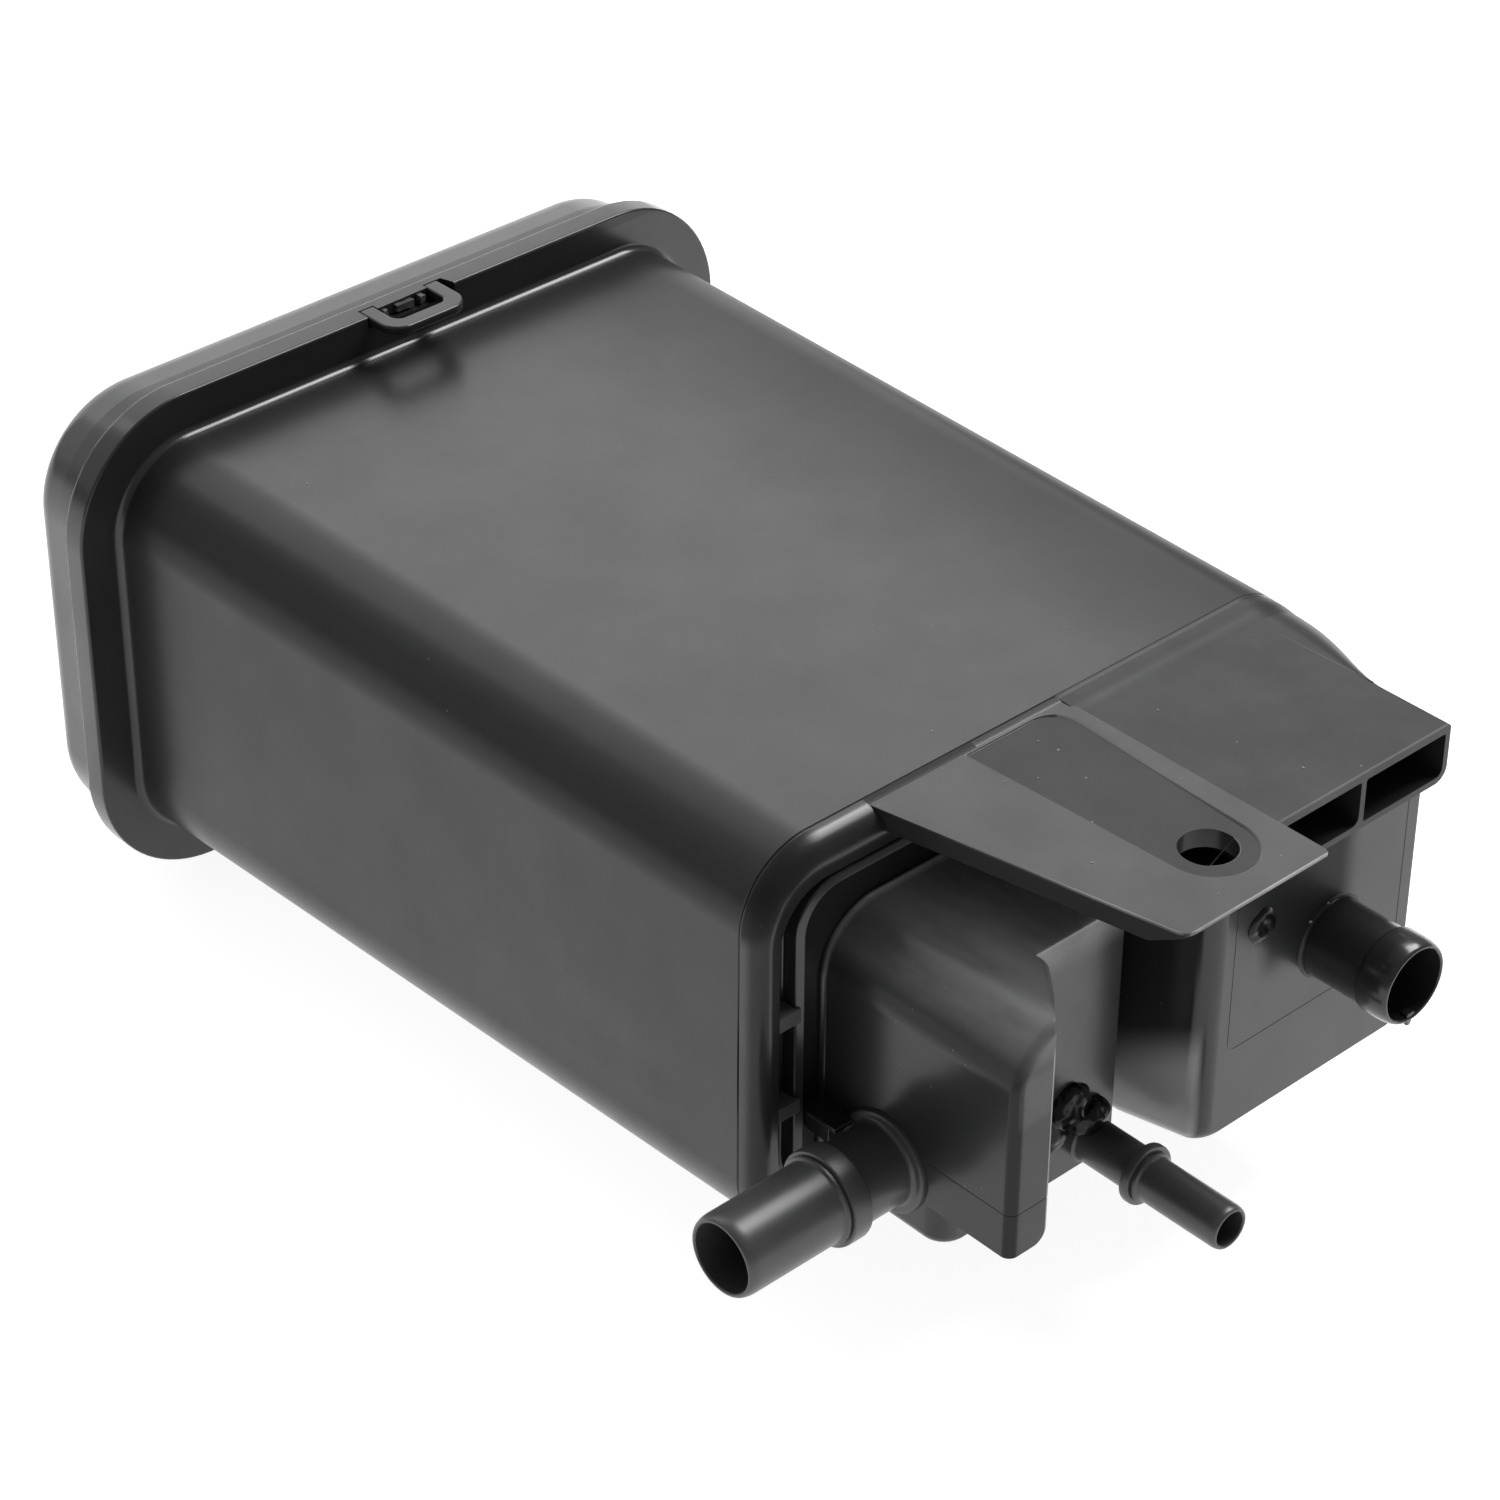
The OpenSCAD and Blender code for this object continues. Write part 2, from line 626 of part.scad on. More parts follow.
// Outline of the tunnel for a radius of its upper edge and a height of its roof
function tunnel_outline(r, high) =
    outline([tunnel_left, min(tunnel_floor, tunnel_roof - r - tunnel_low_r - pocket_r)],
            [tunnel_right + r - tunnel_r, high], [r, pocket_r, pocket_r, tunnel_low_r]);

// Box beside the bracket plate that runs out of the body's right shoulder, and the band behind its roof
module tunnel() {
    reach = shoulder_end - shoulder_start;
    stations = [for (i = [shoulder_steps:-1:0]) -shoulder_start - reach * i / shoulder_steps];
    run = [for (y = concat([-tunnel_reach], stations, [cut])) [y, tunnel_outline(edge_r(y), tunnel_roof)]];
    loft(run);
    r = shoulder_r - (plate_top - tunnel_roof);
    ramp = [-band_l - band_ramp, tunnel_outline(r, tunnel_roof)];
    loft([ramp, [-band_l, tunnel_outline(r, plate_top)], [cut, tunnel_outline(r, plate_top)]]);
}

// Front-open pockets of the tunnel, one each side of its rib
module tunnel_pockets() {
    start = plate_right + pocket_start;
    end = tunnel_right - tunnel_side;
    width = (end - start - tunnel_side) / 2;
    low = tunnel_floor + tunnel_side;
    high = tunnel_roof - tunnel_wall;
    inner_r = max(pocket_r, tunnel_low_r - tunnel_side);
    for (x = [start, end - width])
        translate([0, pocket_d - tunnel_reach, 0]) rotate([90, 0, 0]) linear_extrude(pocket_d + cut)
            polygon(outline([x, low], [x + width, high], [pocket_r, pocket_r, pocket_r, inner_r]));
}

// Inside of a chamber at a distance from the parting line, drawn in by a gap
function tank_room(y, gap = 0) =
    let (w = body_w(y) - wall - gap, h = body_h(y) - wall - gap, r = body_r(y) - wall - gap)
    outline([-w, -h], [partition_x - partition_t / 2 - gap, h], [room_r, r, r, room_r]);
function vent_room(y, gap = 0) =
    let (w = body_w(y) - wall - gap, h = body_h(y) - wall - gap, r = body_r(y) - wall - gap)
    outline([partition_x + partition_t / 2 + gap, -h], [w, h], [r, room_r, room_r, r]);
function whole_room(y) = body_frame(y, -wall);

module chambers() {
    loft([[front_in, tank_room(front_in)], [partition_end, tank_room(partition_end)]]);
    loft([[front_in, vent_room(front_in)], [partition_end, vent_room(partition_end)]]);
    loft([[partition_end, whole_room(partition_end)], [body_l, whole_room(body_l)],
          [weld_y + cut, whole_room(body_l)]]);
}

// Slots in the flange for the loop clip's legs
module loop_slots() {
    low = flange_top - loop_t - loop_gap;
    for (x = [-loop_w, loop_w - loop_bar])
        translate([x - loop_gap, body_l - cut, low])
            cube([loop_bar + 2 * loop_gap, flange_t + 2 * cut, loop_t + loop_gap + cut]);
}

module housing() {
    color(charcoal) at_bolt_hole() difference() {
        union() {
            difference() {
                body_solid();
                front_cuts();
            }
            front_ribs();
            tank_dome();
            flag();
            vent_dome();
            ports();
            bracket();
            tunnel();
        }
        chambers();
        dome_hollows();
        port_bores();
        bracket_cuts();
        tunnel_pockets();
        loop_slots();
    }
}

// Outline of the cover's pan, a given way in from the flange's edge
function pan_frame(inset) = body_frame(body_l, flange_w - inset);

module rear_cover() {
    side_y = back_y - pan_r;
    side_in = pan_step + pan_taper;
    edge = [for (a = quarter()) [side_y + pan_r * sin(a), pan_frame(side_in + pan_r * (1 - cos(a)))]];
    hollow = pan_step + wall;
    color(charcoal) at_bolt_hole() {
        difference() {
            loft(concat([[weld_y, pan_frame(0)], [cover_y, pan_frame(0)], [cover_y, pan_frame(pan_step)]],
                        edge));
            loft([[weld_y - cut, pan_frame(hollow)], [back_y - wall, pan_frame(hollow + pan_taper)]]);
        }
        for (tank = [true, false])
            spring_studs(tank, back_y - wall - stud_h);
        loop_clip();
    }
}

// U-shaped clip moulded to the cover's flange
module loop_clip() {
    front = body_l - loop_reach;
    in = loop_w - loop_bar;
    bar = front + loop_bar;
    points = [[-loop_w, weld_y], [-loop_w, front], [loop_w, front], [loop_w, weld_y],
              [in, weld_y], [in, bar], [-in, bar], [-in, weld_y]];
    radii = [0, loop_r, loop_r, 0, 0, loop_in_r, loop_in_r, 0];
    translate([0, 0, flange_top - loop_t]) linear_extrude(loop_t) polygon(eased(points, radii));
}

// Middle of a chamber's width, where its springs stand
function spring_x(tank) =
    let (side = tank ? -1 : 1)
    (partition_x + side * (partition_t / 2 + body_w(press_y) - wall)) / 2;

// Studs that centre a chamber's springs, from a distance on
module spring_studs(tank, y) {
    for (z = [-spring_z, spring_z])
        translate([spring_x(tank), y, z]) rotate([-90, 0, 0]) cylinder(d = stud_d, h = stud_h);
}

// Pad, bed and plate fill a chamber between two distances from the parting line
module chamber_slab(tank, y0, y1, gap) {
    loft([for (y = [y0, y1]) [y, tank ? tank_room(y, gap) : vent_room(y, gap)]]);
}

module front_filter(tank) {
    color(felt) at_bolt_hole() chamber_slab(tank, front_in, front_in + pad_t, play);
}

module carbon(tank) {
    color(granules) at_bolt_hole() chamber_slab(tank, front_in + pad_t, pad_y, play);
}

module rear_filter(tank) {
    color(felt) at_bolt_hole() chamber_slab(tank, pad_y, press_y, play);
}

// Perforated plate with a guide rim and studs for its springs
module pressure_plate(tank) {
    x = spring_x(tank);
    margin = press_rim_t + play + mesh_edge;
    half_w = abs(x - partition_x) - partition_t / 2 - margin;
    half_h = body_h(press_y) - wall - margin;
    columns = floor(half_w / mesh_pitch);
    rows = floor(half_h / mesh_pitch);
    stud_clear = stud_d / 2 + mesh_edge + wire_d;
    color(grey) at_bolt_hole() {
        difference() {
            chamber_slab(tank, press_y, press_y + press_rim, play);
            chamber_slab(tank, press_y + press_t, press_y + press_rim + cut, play + press_rim_t);
            for (i = [-columns:columns], j = [-rows:rows])
                if (norm([i * mesh_pitch, abs(j * mesh_pitch) - spring_z]) > stud_clear)
                    translate([x + i * mesh_pitch, press_y + press_t / 2, j * mesh_pitch])
                        cube([mesh_hole, press_t + 2 * cut, mesh_hole], center = true);
        }
        spring_studs(tank, press_y + press_t);
    }
}

// Coil spring along the length, from its pressure plate to the cover
module spring(tank, side) {
    steps = 14;
    sides = 6;
    rings = steps * spring_turns;
    y0 = press_y + press_t + wire_d / 2;
    travel = spring_l - wire_d;
    points = [for (i = [0:rings]) let (a = 360 * i / steps, t = i / rings)
        for (j = [0:sides - 1]) let (b = 360 * j / sides, k = (spring_d + wire_d * cos(b)) / 2)
            [k * cos(a), y0 + travel * t + wire_d / 2 * sin(b), k * sin(a)]];
    walls = [for (i = [0:rings - 1]) for (j = [0:sides - 1])
        let (p = i * sides + j, q = i * sides + (j + 1) % sides)
        each [[p, q, q + sides], [p, q + sides, p + sides]]];
    ends = [[for (j = [sides - 1:-1:0]) j], [for (j = [0:sides - 1]) rings * sides + j]];
    color("silver") at_bolt_hole()
        translate([spring_x(tank), 0, side * spring_z]) polyhedron(points, concat(walls, ends));
}

housing();
rear_cover();
front_filter(true);  // tank_front_filter
carbon(true);  // tank_carbon
rear_filter(true);  // tank_rear_filter
pressure_plate(true);  // tank_pressure_plate
spring(true, 1);  // tank_upper_spring
spring(true, -1);  // tank_lower_spring
front_filter(false);  // vent_front_filter
carbon(false);  // vent_carbon
rear_filter(false);  // vent_rear_filter
pressure_plate(false);  // vent_pressure_plate
spring(false, 1);  // vent_upper_spring
spring(false, -1);  // vent_lower_spring
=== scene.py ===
"""Looks of a black plastic fuel-vapour canister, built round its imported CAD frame."""

from __future__ import annotations

import logging
import math
from dataclasses import dataclass, replace
from enum import Enum
from typing import Any, Callable, Iterable, Sequence

import bmesh
import bpy
from mathutils import Matrix, Vector, noise

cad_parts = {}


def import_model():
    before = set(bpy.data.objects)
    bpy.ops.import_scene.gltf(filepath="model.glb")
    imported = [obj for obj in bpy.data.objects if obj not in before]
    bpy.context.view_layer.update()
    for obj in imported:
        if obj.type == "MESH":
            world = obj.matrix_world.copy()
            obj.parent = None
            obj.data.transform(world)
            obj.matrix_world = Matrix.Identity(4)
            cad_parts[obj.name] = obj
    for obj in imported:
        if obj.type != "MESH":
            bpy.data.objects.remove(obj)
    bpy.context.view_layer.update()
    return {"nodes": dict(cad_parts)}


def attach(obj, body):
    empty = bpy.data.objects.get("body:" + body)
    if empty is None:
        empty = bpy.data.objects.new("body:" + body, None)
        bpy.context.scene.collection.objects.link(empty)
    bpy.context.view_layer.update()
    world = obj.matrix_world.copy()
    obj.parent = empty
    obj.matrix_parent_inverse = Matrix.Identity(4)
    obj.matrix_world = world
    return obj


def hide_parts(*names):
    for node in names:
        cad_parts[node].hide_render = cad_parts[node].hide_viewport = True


Flat = tuple[float, float]
Point = tuple[float, float, float]
Colour = tuple[float, float, float, float]

LOG = logging.getLogger("canister")
MM = 0.001
BOLT_HOLE = Vector((-6.7, -49.4, 39.85))
# Metres within which two points are one
SAME = 1e-7


class Finish(Enum):
    """Finishes of the canister, by the name of their material."""

    SHELL = "glossy_black_plastic"
    WALL = "satin_black_plastic"
    PORT = "dull_port_plastic"
    DOME = "dusty_black_plastic_with_painted_light"
    VENT = "streaked_black_plastic_with_painted_reflection"
    BRACKET = "scuffed_black_plastic"
    TUNNEL = "dull_black_plastic"
    WELD = "rough_weld_flash"
    GLOSSY = "dark_glossy_plastic"
    WORN_AND_LIT = "rubbed_and_lit_pale_plastic"
    SPECK = "pale_dust_and_glints"
    FELT = "needled_felt"
    CARBON = "packed_granules"
    PLATE = "plain_grey_plastic"
    SPRING = "drawn_wire"
    FLOOR = "pale_floor"


class Way(Enum):
    """Directions in the body's frame, for the sides of patches and for tubes and cuts."""

    LEFT = (-1, 0, 0)
    RIGHT = (1, 0, 0)
    FRONT = (0, -1, 0)
    BACK = (0, 1, 0)
    UP = (0, 0, 1)
    DOWN = (0, 0, -1)
    UP_LEFT = (-0.7071, 0, 0.7071)
    FRONT_LEFT = (-0.7071, -0.7071, 0)
    DOWN_FRONT = (0, -0.58, -1)
    BODY_EDGE = (-0.7071, -0.01577, 0.7071)
    PLATE_EDGE = (-0.98, -0.1987, 0)


def place(x: float, y: float, z: float) -> Vector:
    """Turns millimetres in the body's own frame into metres from the bolt hole.

    Args:
        x: Distance to the right of the body's middle.
        y: Distance behind the mould's parting line.
        z: Height above the body's middle.

    Returns:
        The point in the part's frame.
    """
    return (Vector((x, y, z)) - BOLT_HOLE) * MM


def arc(steps: int, start: float = 0.0, turn: float = 90.0) -> list[float]:
    """Lists the angles of an arc in radians, from its start and its turn in degrees."""
    return [math.radians(start + turn * i / steps) for i in range(steps + 1)]


def linked(name: str, data: bpy.types.ID) -> bpy.types.Object:
    """Makes an object and links it to the scene.

    Args:
        name: Name of the object.
        data: Its mesh, lamp or camera.

    Returns:
        The object, at the origin.
    """
    obj = bpy.data.objects.new(name, data)
    bpy.context.scene.collection.objects.link(obj)
    return obj


# Outlines


@dataclass(frozen=True)
class Ring:
    """A rounded rectangle across the length of the body, in millimetres."""

    y: float
    left: float
    right: float
    low: float
    high: float
    radii: tuple[float, float, float, float]
    soft: float = 0.0

    @staticmethod
    def centred(y: float, w: float, h: float, r: float, soft: float = 0.0) -> Ring:
        """Makes a ring of half sizes w and h round the body's middle."""
        return Ring(y, -w, w, -h, h, (r, r, r, r), soft)

    def grown(self, out: float, y: float | None = None, soft: float = 0.0) -> Ring:
        """Makes a copy that is larger all round.

        Args:
            out: How far each side moves out.
            y: New place along the body, or None to keep it.
            soft: Radius that the copy's own edge gets.

        Returns:
            The new ring.
        """
        smallest = 0.05
        radii = tuple(max(smallest, r + out) for r in self.radii)
        y = self.y if y is None else y
        return Ring(y, self.left - out, self.right + out, self.low - out, self.high + out, radii, soft)

    def mixed(self, other: Ring, t: float) -> Ring:
        """Makes the ring a share of the way to another.

        Args:
            other: Ring at the far end.
            t: Share of the way.

        Returns:
            The new ring.
        """
        a = (self.y, self.left, self.right, self.low, self.high, *self.radii)
        b = (other.y, other.left, other.right, other.low, other.high, *other.radii)
        y, left, right, low, high, *radii = [p + (q - p) * t for p, q in zip(a, b)]
        return Ring(y, left, right, low, high, tuple(radii))

    def away(self, other: Ring) -> float:
        """Measures how far another ring is, by its furthest side."""
        gaps = (self.left - other.left, self.right - other.right, self.low - other.low, self.high - other.high)
        return math.hypot(self.y - other.y, max(abs(gap) for gap in gaps))

    def points(self, steps: int, straight: int) -> list[Vector]:
        """Lists the ring's points, anticlockwise seen from the ports.

        Args:
            steps: Segments of each corner.
            straight: Segments of each straight side.

        Returns:
            Points in the part's frame.
        """
        corners = (
            (self.right, self.high, -1, -1),
            (self.left, self.high, 1, -1),
            (self.left, self.low, 1, 1),
            (self.right, self.low, -1, 1),
        )
        bends: list[Vector] = []
        for k, ((x, z, sx, sz), r) in enumerate(zip(corners, self.radii)):
            for a in arc(steps, 90 * k):
                bends.append(Vector((x + sx * r + r * math.cos(a), self.y, z + sz * r + r * math.sin(a))))
        full: list[Vector] = []
        for i, p in enumerate(bends):
            full.append(p)
            if i % (steps + 1) == steps:
                q = bends[(i + 1) % len(bends)]
                full.extend(p.lerp(q, j / straight) for j in range(1, straight))
        return [place(*p) for p in full]


def rounded(points: Sequence[Flat], radii: Sequence[float], steps: int) -> list[Flat]:
    """Rounds the corners of an outline.

    Args:
        points: Corners in order.
        radii: Radius of each corner, or 0 for a sharp one.
        steps: Segments of each rounded corner.

    Returns:
        A longer outline.
    """
    out: list[Flat] = []
    for i, (corner, r) in enumerate(zip(points, radii)):
        if not r:
            out.append(corner)
            continue
        p = Vector(corner)
        u = (Vector(points[i - 1]) - p).normalized()
        v = (Vector(points[(i + 1) % len(points)]) - p).normalized()
        half = u.angle(v) / 2
        middle = p + (u + v).normalized() * r / math.sin(half)
        a, b = p + u * r / math.tan(half) - middle, p + v * r / math.tan(half) - middle
        out.extend(tuple(middle + a.slerp(b, k / steps) * r) for k in range(steps + 1))
    return out


def softened(rings: Sequence[Ring], steps: int = 4) -> list[Ring]:
    """Rounds the edges of a row of rings by each ring's own radius.

    Args:
        rings: Rings in order.
        steps: Segments of each rounded edge.

    Returns:
        A longer row of rings.
    """
    nearly_half, tiny = 0.48, 1e-6
    out: list[Ring] = []
    for i, ring in enumerate(rings):
        if not ring.soft or i in (0, len(rings) - 1):
            out.append(ring)
            continue
        beside = (rings[i - 1], rings[i + 1])
        ends = [ring.mixed(r, min(nearly_half, ring.soft / max(tiny, ring.away(r)))) for r in beside]
        for t in (k / steps for k in range(steps + 1)):
            out.append(ends[0].mixed(ring, t).mixed(ring.mixed(ends[1], t), t))
    return out


# Meshes


def verts_of(geom: Iterable[Any]) -> list[bmesh.types.BMVert]:
    """Picks the vertices out of a mixed list."""
    return [g for g in geom if isinstance(g, bmesh.types.BMVert)]


class Form:
    """A mesh in the making, with the few operations that the mouldings need."""

    def __init__(self) -> None:
        """Starts with an empty mesh."""
        self.bm = bmesh.new()

    def _loop(self, points: Iterable[Vector]) -> tuple[list[bmesh.types.BMVert], list[bmesh.types.BMEdge]]:
        """Adds a closed line and gives its vertices and edges."""
        verts = [self.bm.verts.new(p) for p in points]
        return verts, [self.bm.edges.new(pair) for pair in zip(verts, verts[1:] + verts[:1])]

    def loft(self, rings: Sequence[Ring], steps: int = 14, straight: int = 1, closed: bool = True) -> Form:
        """Draws a skin through rings by pulling the first one out from ring to ring.

        Args:
            rings: Rings in order, front first or back first.
            steps: Segments of each corner.
            straight: Segments of each straight side.
            closed: Whether the two ends get a face.

        Returns:
            This form.
        """
        bm = self.bm
        verts, edges = self._loop(rings[0].points(steps, straight))
        if closed:
            bmesh.ops.contextual_create(bm, geom=edges)
        for ring in rings[1:]:
            fresh = set(verts_of(bmesh.ops.extrude_edge_only(bm, edges=edges)["geom"]))
            verts = [next(e.other_vert(v) for e in v.link_edges if e.other_vert(v) in fresh) for v in verts]
            for v, p in zip(verts, ring.points(steps, straight)):
                v.co = p
            edges = [bm.edges.get(pair) for pair in zip(verts, verts[1:] + verts[:1])]
        if closed:
            bmesh.ops.contextual_create(bm, geom=edges)
        return self.outward()

    def prism(self, outline: Sequence[Flat], low: float, high: float) -> Form:
        """Pulls an outline seen from above up into a plate.

        Args:
            outline: Corners in millimetres, in order.
            low: Height of the underside.
            high: Height of the top.

        Returns:
            This form.
        """
        edges = self._loop(place(x, y, low) for x, y in outline)[1]
        faces = bmesh.ops.contextual_create(self.bm, geom=edges)["faces"]
        made = bmesh.ops.extrude_face_region(self.bm, geom=faces, use_keep_orig=True)["geom"]
        bmesh.ops.translate(self.bm, verts=verts_of(made), vec=Vector((0, 0, (high - low) * MM)))
        return self.outward()

    def box(self, low: Point, high: Point) -> Form:
        """Adds a box.

        Args:
            low: Lower left front corner in millimetres.
            high: Upper right back corner.

        Returns:
            This form.
        """
        a, b = place(*low), place(*high)
        size = Matrix.Diagonal((*(b - a), 1))
        bmesh.ops.create_cube(self.bm, size=1, matrix=Matrix.Translation((a + b) / 2) @ size)
        return self

    def lump(self, spot: Point, size: Point, subdivisions: int) -> Form:
        """Adds a ball that is stretched along each axis.

        Args:
            spot: Its middle in millimetres.
            size: Its three half sizes.
            subdivisions: Fineness of the ball.

        Returns:
            This form.
        """
        matrix = Matrix.Translation(place(*spot)) @ Matrix.Diagonal((*size, 1))
        bmesh.ops.create_icosphere(self.bm, subdivisions=subdivisions, radius=MM, matrix=matrix)
        return self

    def turned(self, start: Point, along: Point, profile: Sequence[Flat], steps: int = 72) -> Form:
        """Turns a half section about an axis.

        Args:
            start: Point of the axis in millimetres.
            along: Direction of the axis.
            profile: Pairs of radius and distance along the axis.
            steps: Segments of the full turn.

        Returns:
            This form.
        """
        bm, origin, axis = self.bm, place(*start), Vector(along)
        side = axis.orthogonal().normalized()
        verts = [bm.verts.new(origin + (axis * d + side * r) * MM) for r, d in profile]
        edges = [bm.edges.new(pair) for pair in zip(verts, verts[1:])]
        options = {"angle": math.tau, "steps": steps, "use_merge": True}
        bmesh.ops.spin(bm, geom=verts + edges, cent=origin, axis=axis, **options)
        bmesh.ops.remove_doubles(bm, verts=bm.verts[:], dist=SAME)
        return self.outward()

    def _sliced(self, at: Vector, facing: Vector, **options: Any) -> list[Any]:
        """Cuts the mesh along a plane and gives the points and edges of the cut."""
        geom = self.bm.verts[:] + self.bm.edges[:] + self.bm.faces[:]
        return bmesh.ops.bisect_plane(self.bm, geom=geom, plane_co=at, plane_no=facing, **options)["geom_cut"]

    def halved(self, at: Point, facing: Point) -> Form:
        """Cuts off what lies on the facing side of a plane, and closes the cut.

        Args:
            at: Point of the plane in millimetres.
            facing: Normal of the plane.

        Returns:
            This form.
        """
        cut = self._sliced(place(*at), Vector(facing), clear_outer=True)
        bmesh.ops.contextual_create(self.bm, geom=[g for g in cut if isinstance(g, bmesh.types.BMEdge)])
        return self.outward()

    def scored(self, at: Point, facing: Point, wide: float, deep: float) -> Form:
        """Draws a fine groove where a plane crosses the surface.

        Args:
            at: Point of the plane in millimetres.
            facing: Normal of the plane.
            wide: Width of the groove.
            deep: Depth of the groove.

        Returns:
            This form.
        """
        normal = Vector(facing).normalized()
        for shift in (-wide / 2, wide / 2, 0.0):
            cut = self._sliced(place(*at) + normal * shift * MM, normal, dist=SAME)
        self.bm.normal_update()
        for v, n in [(v, v.normal.copy()) for v in verts_of(cut)]:
            v.co -= n * deep * MM
        return self

    def outward(self) -> Form:
        """Turns all faces outwards.

        Returns:
            This form.
        """
        bmesh.ops.recalc_face_normals(self.bm, faces=self.bm.faces[:])
        if self.bm.calc_volume(signed=True) < 0:
            bmesh.ops.reverse_faces(self.bm, faces=self.bm.faces[:])
        return self

    def rounded_off(self, edges: Sequence[bmesh.types.BMEdge], offset: float, steps: int) -> Form:
        """Rounds some edges.

        Args:
            edges: Edges of this form.
            offset: Width of the rounding in millimetres.
            steps: Segments of the rounding.

        Returns:
            This form.
        """
        options = {"offset_type": "OFFSET", "profile": 0.5, "affect": "EDGES", "material": -1}
        bmesh.ops.bevel(self.bm, geom=edges, offset=offset * MM, segments=steps, **options)
        return self

    def eased(self, offset: float, steps: int, low: float, left: float) -> Form:
        """Rounds the sharp edges of faces that look to the front, in the upper right part of the form.

        Args:
            offset: Width of the rounding in millimetres.
            steps: Segments of the rounding.
            low: Height above which edges are taken.
            left: Place across the body to the right of which edges are taken.

        Returns:
            This form.
        """
        sharp, frontal = math.radians(35.0), -0.3
        side, _, floor = place(left, 0, low)
        edges = [e for e in self.bm.edges if len(e.link_faces) == 2 and e.calc_face_angle(0.0) > sharp]
        edges = [e for e in edges if all(v.co.z > floor and v.co.x > side for v in e.verts)]
        edges = [e for e in edges if any(f.normal.y < frontal for f in e.link_faces)]
        return self.rounded_off(edges, offset, steps)

    def shrunk(self, under: float, shares: Point, centre: Point) -> Form:
        """Draws the points below a height in towards a centre.

        Args:
            under: Height in millimetres.
            shares: Size of each axis that is left.
            centre: Point that stays in place.

        Returns:
            This form.
        """
        low = [v for v in self.bm.verts if v.co.z < place(0, 0, under).z]
        bmesh.ops.scale(self.bm, vec=Vector(shares), verts=low, space=Matrix.Translation(-place(*centre)))
        return self

    def rough(self, size: float, depth: float) -> Form:
        """Moves the points by a fixed noise.

        Args:
            size: Size of the lumps in millimetres.
            depth: Largest move in millimetres.

        Returns:
            This form.
        """
        self.bm.normal_update()
        for v in self.bm.verts:
            v.co += v.normal * noise.noise(v.co / (size * MM)) * depth * MM
        return self

    def _object(self, name: str) -> bpy.types.Object:
        """Makes a bare object of the mesh.

        Args:
            name: Name of the object and of its mesh.

        Returns:
            The object.
        """
        mesh = bpy.data.meshes.new(name)
        self.bm.to_mesh(mesh)
        return linked(name, mesh)

    def less(self, other: Form) -> Form:
        """Cuts another form out of this one.

        Args:
            other: The form to take away.

        Returns:
            This form.
        """
        mine, theirs = self._object("mine"), other._object("theirs")
        cut = mine.modifiers.new("cut", "BOOLEAN")
        cut.object, cut.operation, cut.solver = theirs, "DIFFERENCE", "EXACT"
        graph = bpy.context.evaluated_depsgraph_get()
        mesh = bpy.data.meshes.new_from_object(mine.evaluated_get(graph))
        self.bm.clear()
        self.bm.from_mesh(mesh)
        for obj in (mine, theirs):
            data = obj.data
            bpy.data.objects.remove(obj)
            bpy.data.meshes.remove(data)
        bpy.data.meshes.remove(mesh)
        return self

    def piece(
        self,
        name: str,
        material: bpy.types.Material,
        edge: float = 0.0,
        sharp: float = 32.0,
        middle: tuple[bpy.types.Material, float, float] | None = None,
    ) -> bpy.types.Object:
        """Makes the finished object.

        Args:
            name: Name of the piece.
            material: Its finish.
            edge: Width of the softened edges in millimetres, or 0 for none.
            sharp: Angle in degrees above which an edge stays sharp or is softened.
            middle: Another finish and the two distances along the body between which it applies.

        Returns:
            The object, at the origin.
        """
        obj = self._object(name)
        self.bm.free()
        mesh = obj.data
        mesh.shade_smooth()
        mesh.materials.append(material)
        if middle:
            mesh.materials.append(middle[0])
            low, high = (place(0, y, 0).y for y in middle[1:])
            for face in mesh.polygons:
                face.material_index = int(low < face.center.y < high)
        if edge:
            bevel = obj.modifiers.new("soft_edges", "BEVEL")
            bevel.width, bevel.segments, bevel.limit_method = edge * MM, 3, "ANGLE"
            bevel.angle_limit, bevel.harden_normals, bevel.miter_outer = math.radians(sharp), False, "MITER_ARC"
        else:
            mesh.set_sharp_from_angle(angle=math.radians(sharp))
        even = obj.modifiers.new("even_faces", "WEIGHTED_NORMAL")
        even.keep_sharp, even.weight = True, 60
        return obj


# Shaders


@dataclass(frozen=True)
class Grain:
    """A noise by its scale per metre, on coordinates that may be stretched and turned about Z.

    Where it has an edge and a width, it is a mask that rises over that width from that edge.
    """

    scale: float
    detail: float = 3.0
    rough: float = 0.55
    stretch: Point | None = None
    turn: float = 0.0
    above: Flat | None = None


CLOUDS = Grain(26.0, 4.0, 0.6)
SKIN = Grain(2600.0, 2.0, 0.5)
PATCHY = Grain(18.0, 2.0, above=(0.5, 0.16))
HAIRS = Grain(95.0, 1.0, 0.4, (1.0, 0.045, 1.0), 24.0, (0.685, 0.03))
RUBS = Grain(120.0, 1.0, 0.4, (0.05, 1.0, 1.0), -12.0, (0.7, 0.03))
SMUDGES = Grain(55.0, 5.0, 0.65)
STREAKS = Grain(70.0, 4.0, 0.6, (1.0, 0.35, 1.0), 20.0, (0.25, 0.45))

# Dust grains: their scale per metre, and the radius and soft edge of each as shares of their spacing
DUST_SCALE = 230.0
DUST_GRAIN: Flat = (0.034, 0.022)
# What scratches and dust add to the roughness
MARK_ROUGH, DUST_ROUGH = 0.16, 0.3
# Shares of the skin, scratches and dust in the relief, its depth in millimetres and its strength
SKIN_RISE, MARK_RISE, DUST_RISE = 0.5, 0.6, 0.8
RELIEF, RELIEF_STRENGTH = 0.02, 0.35

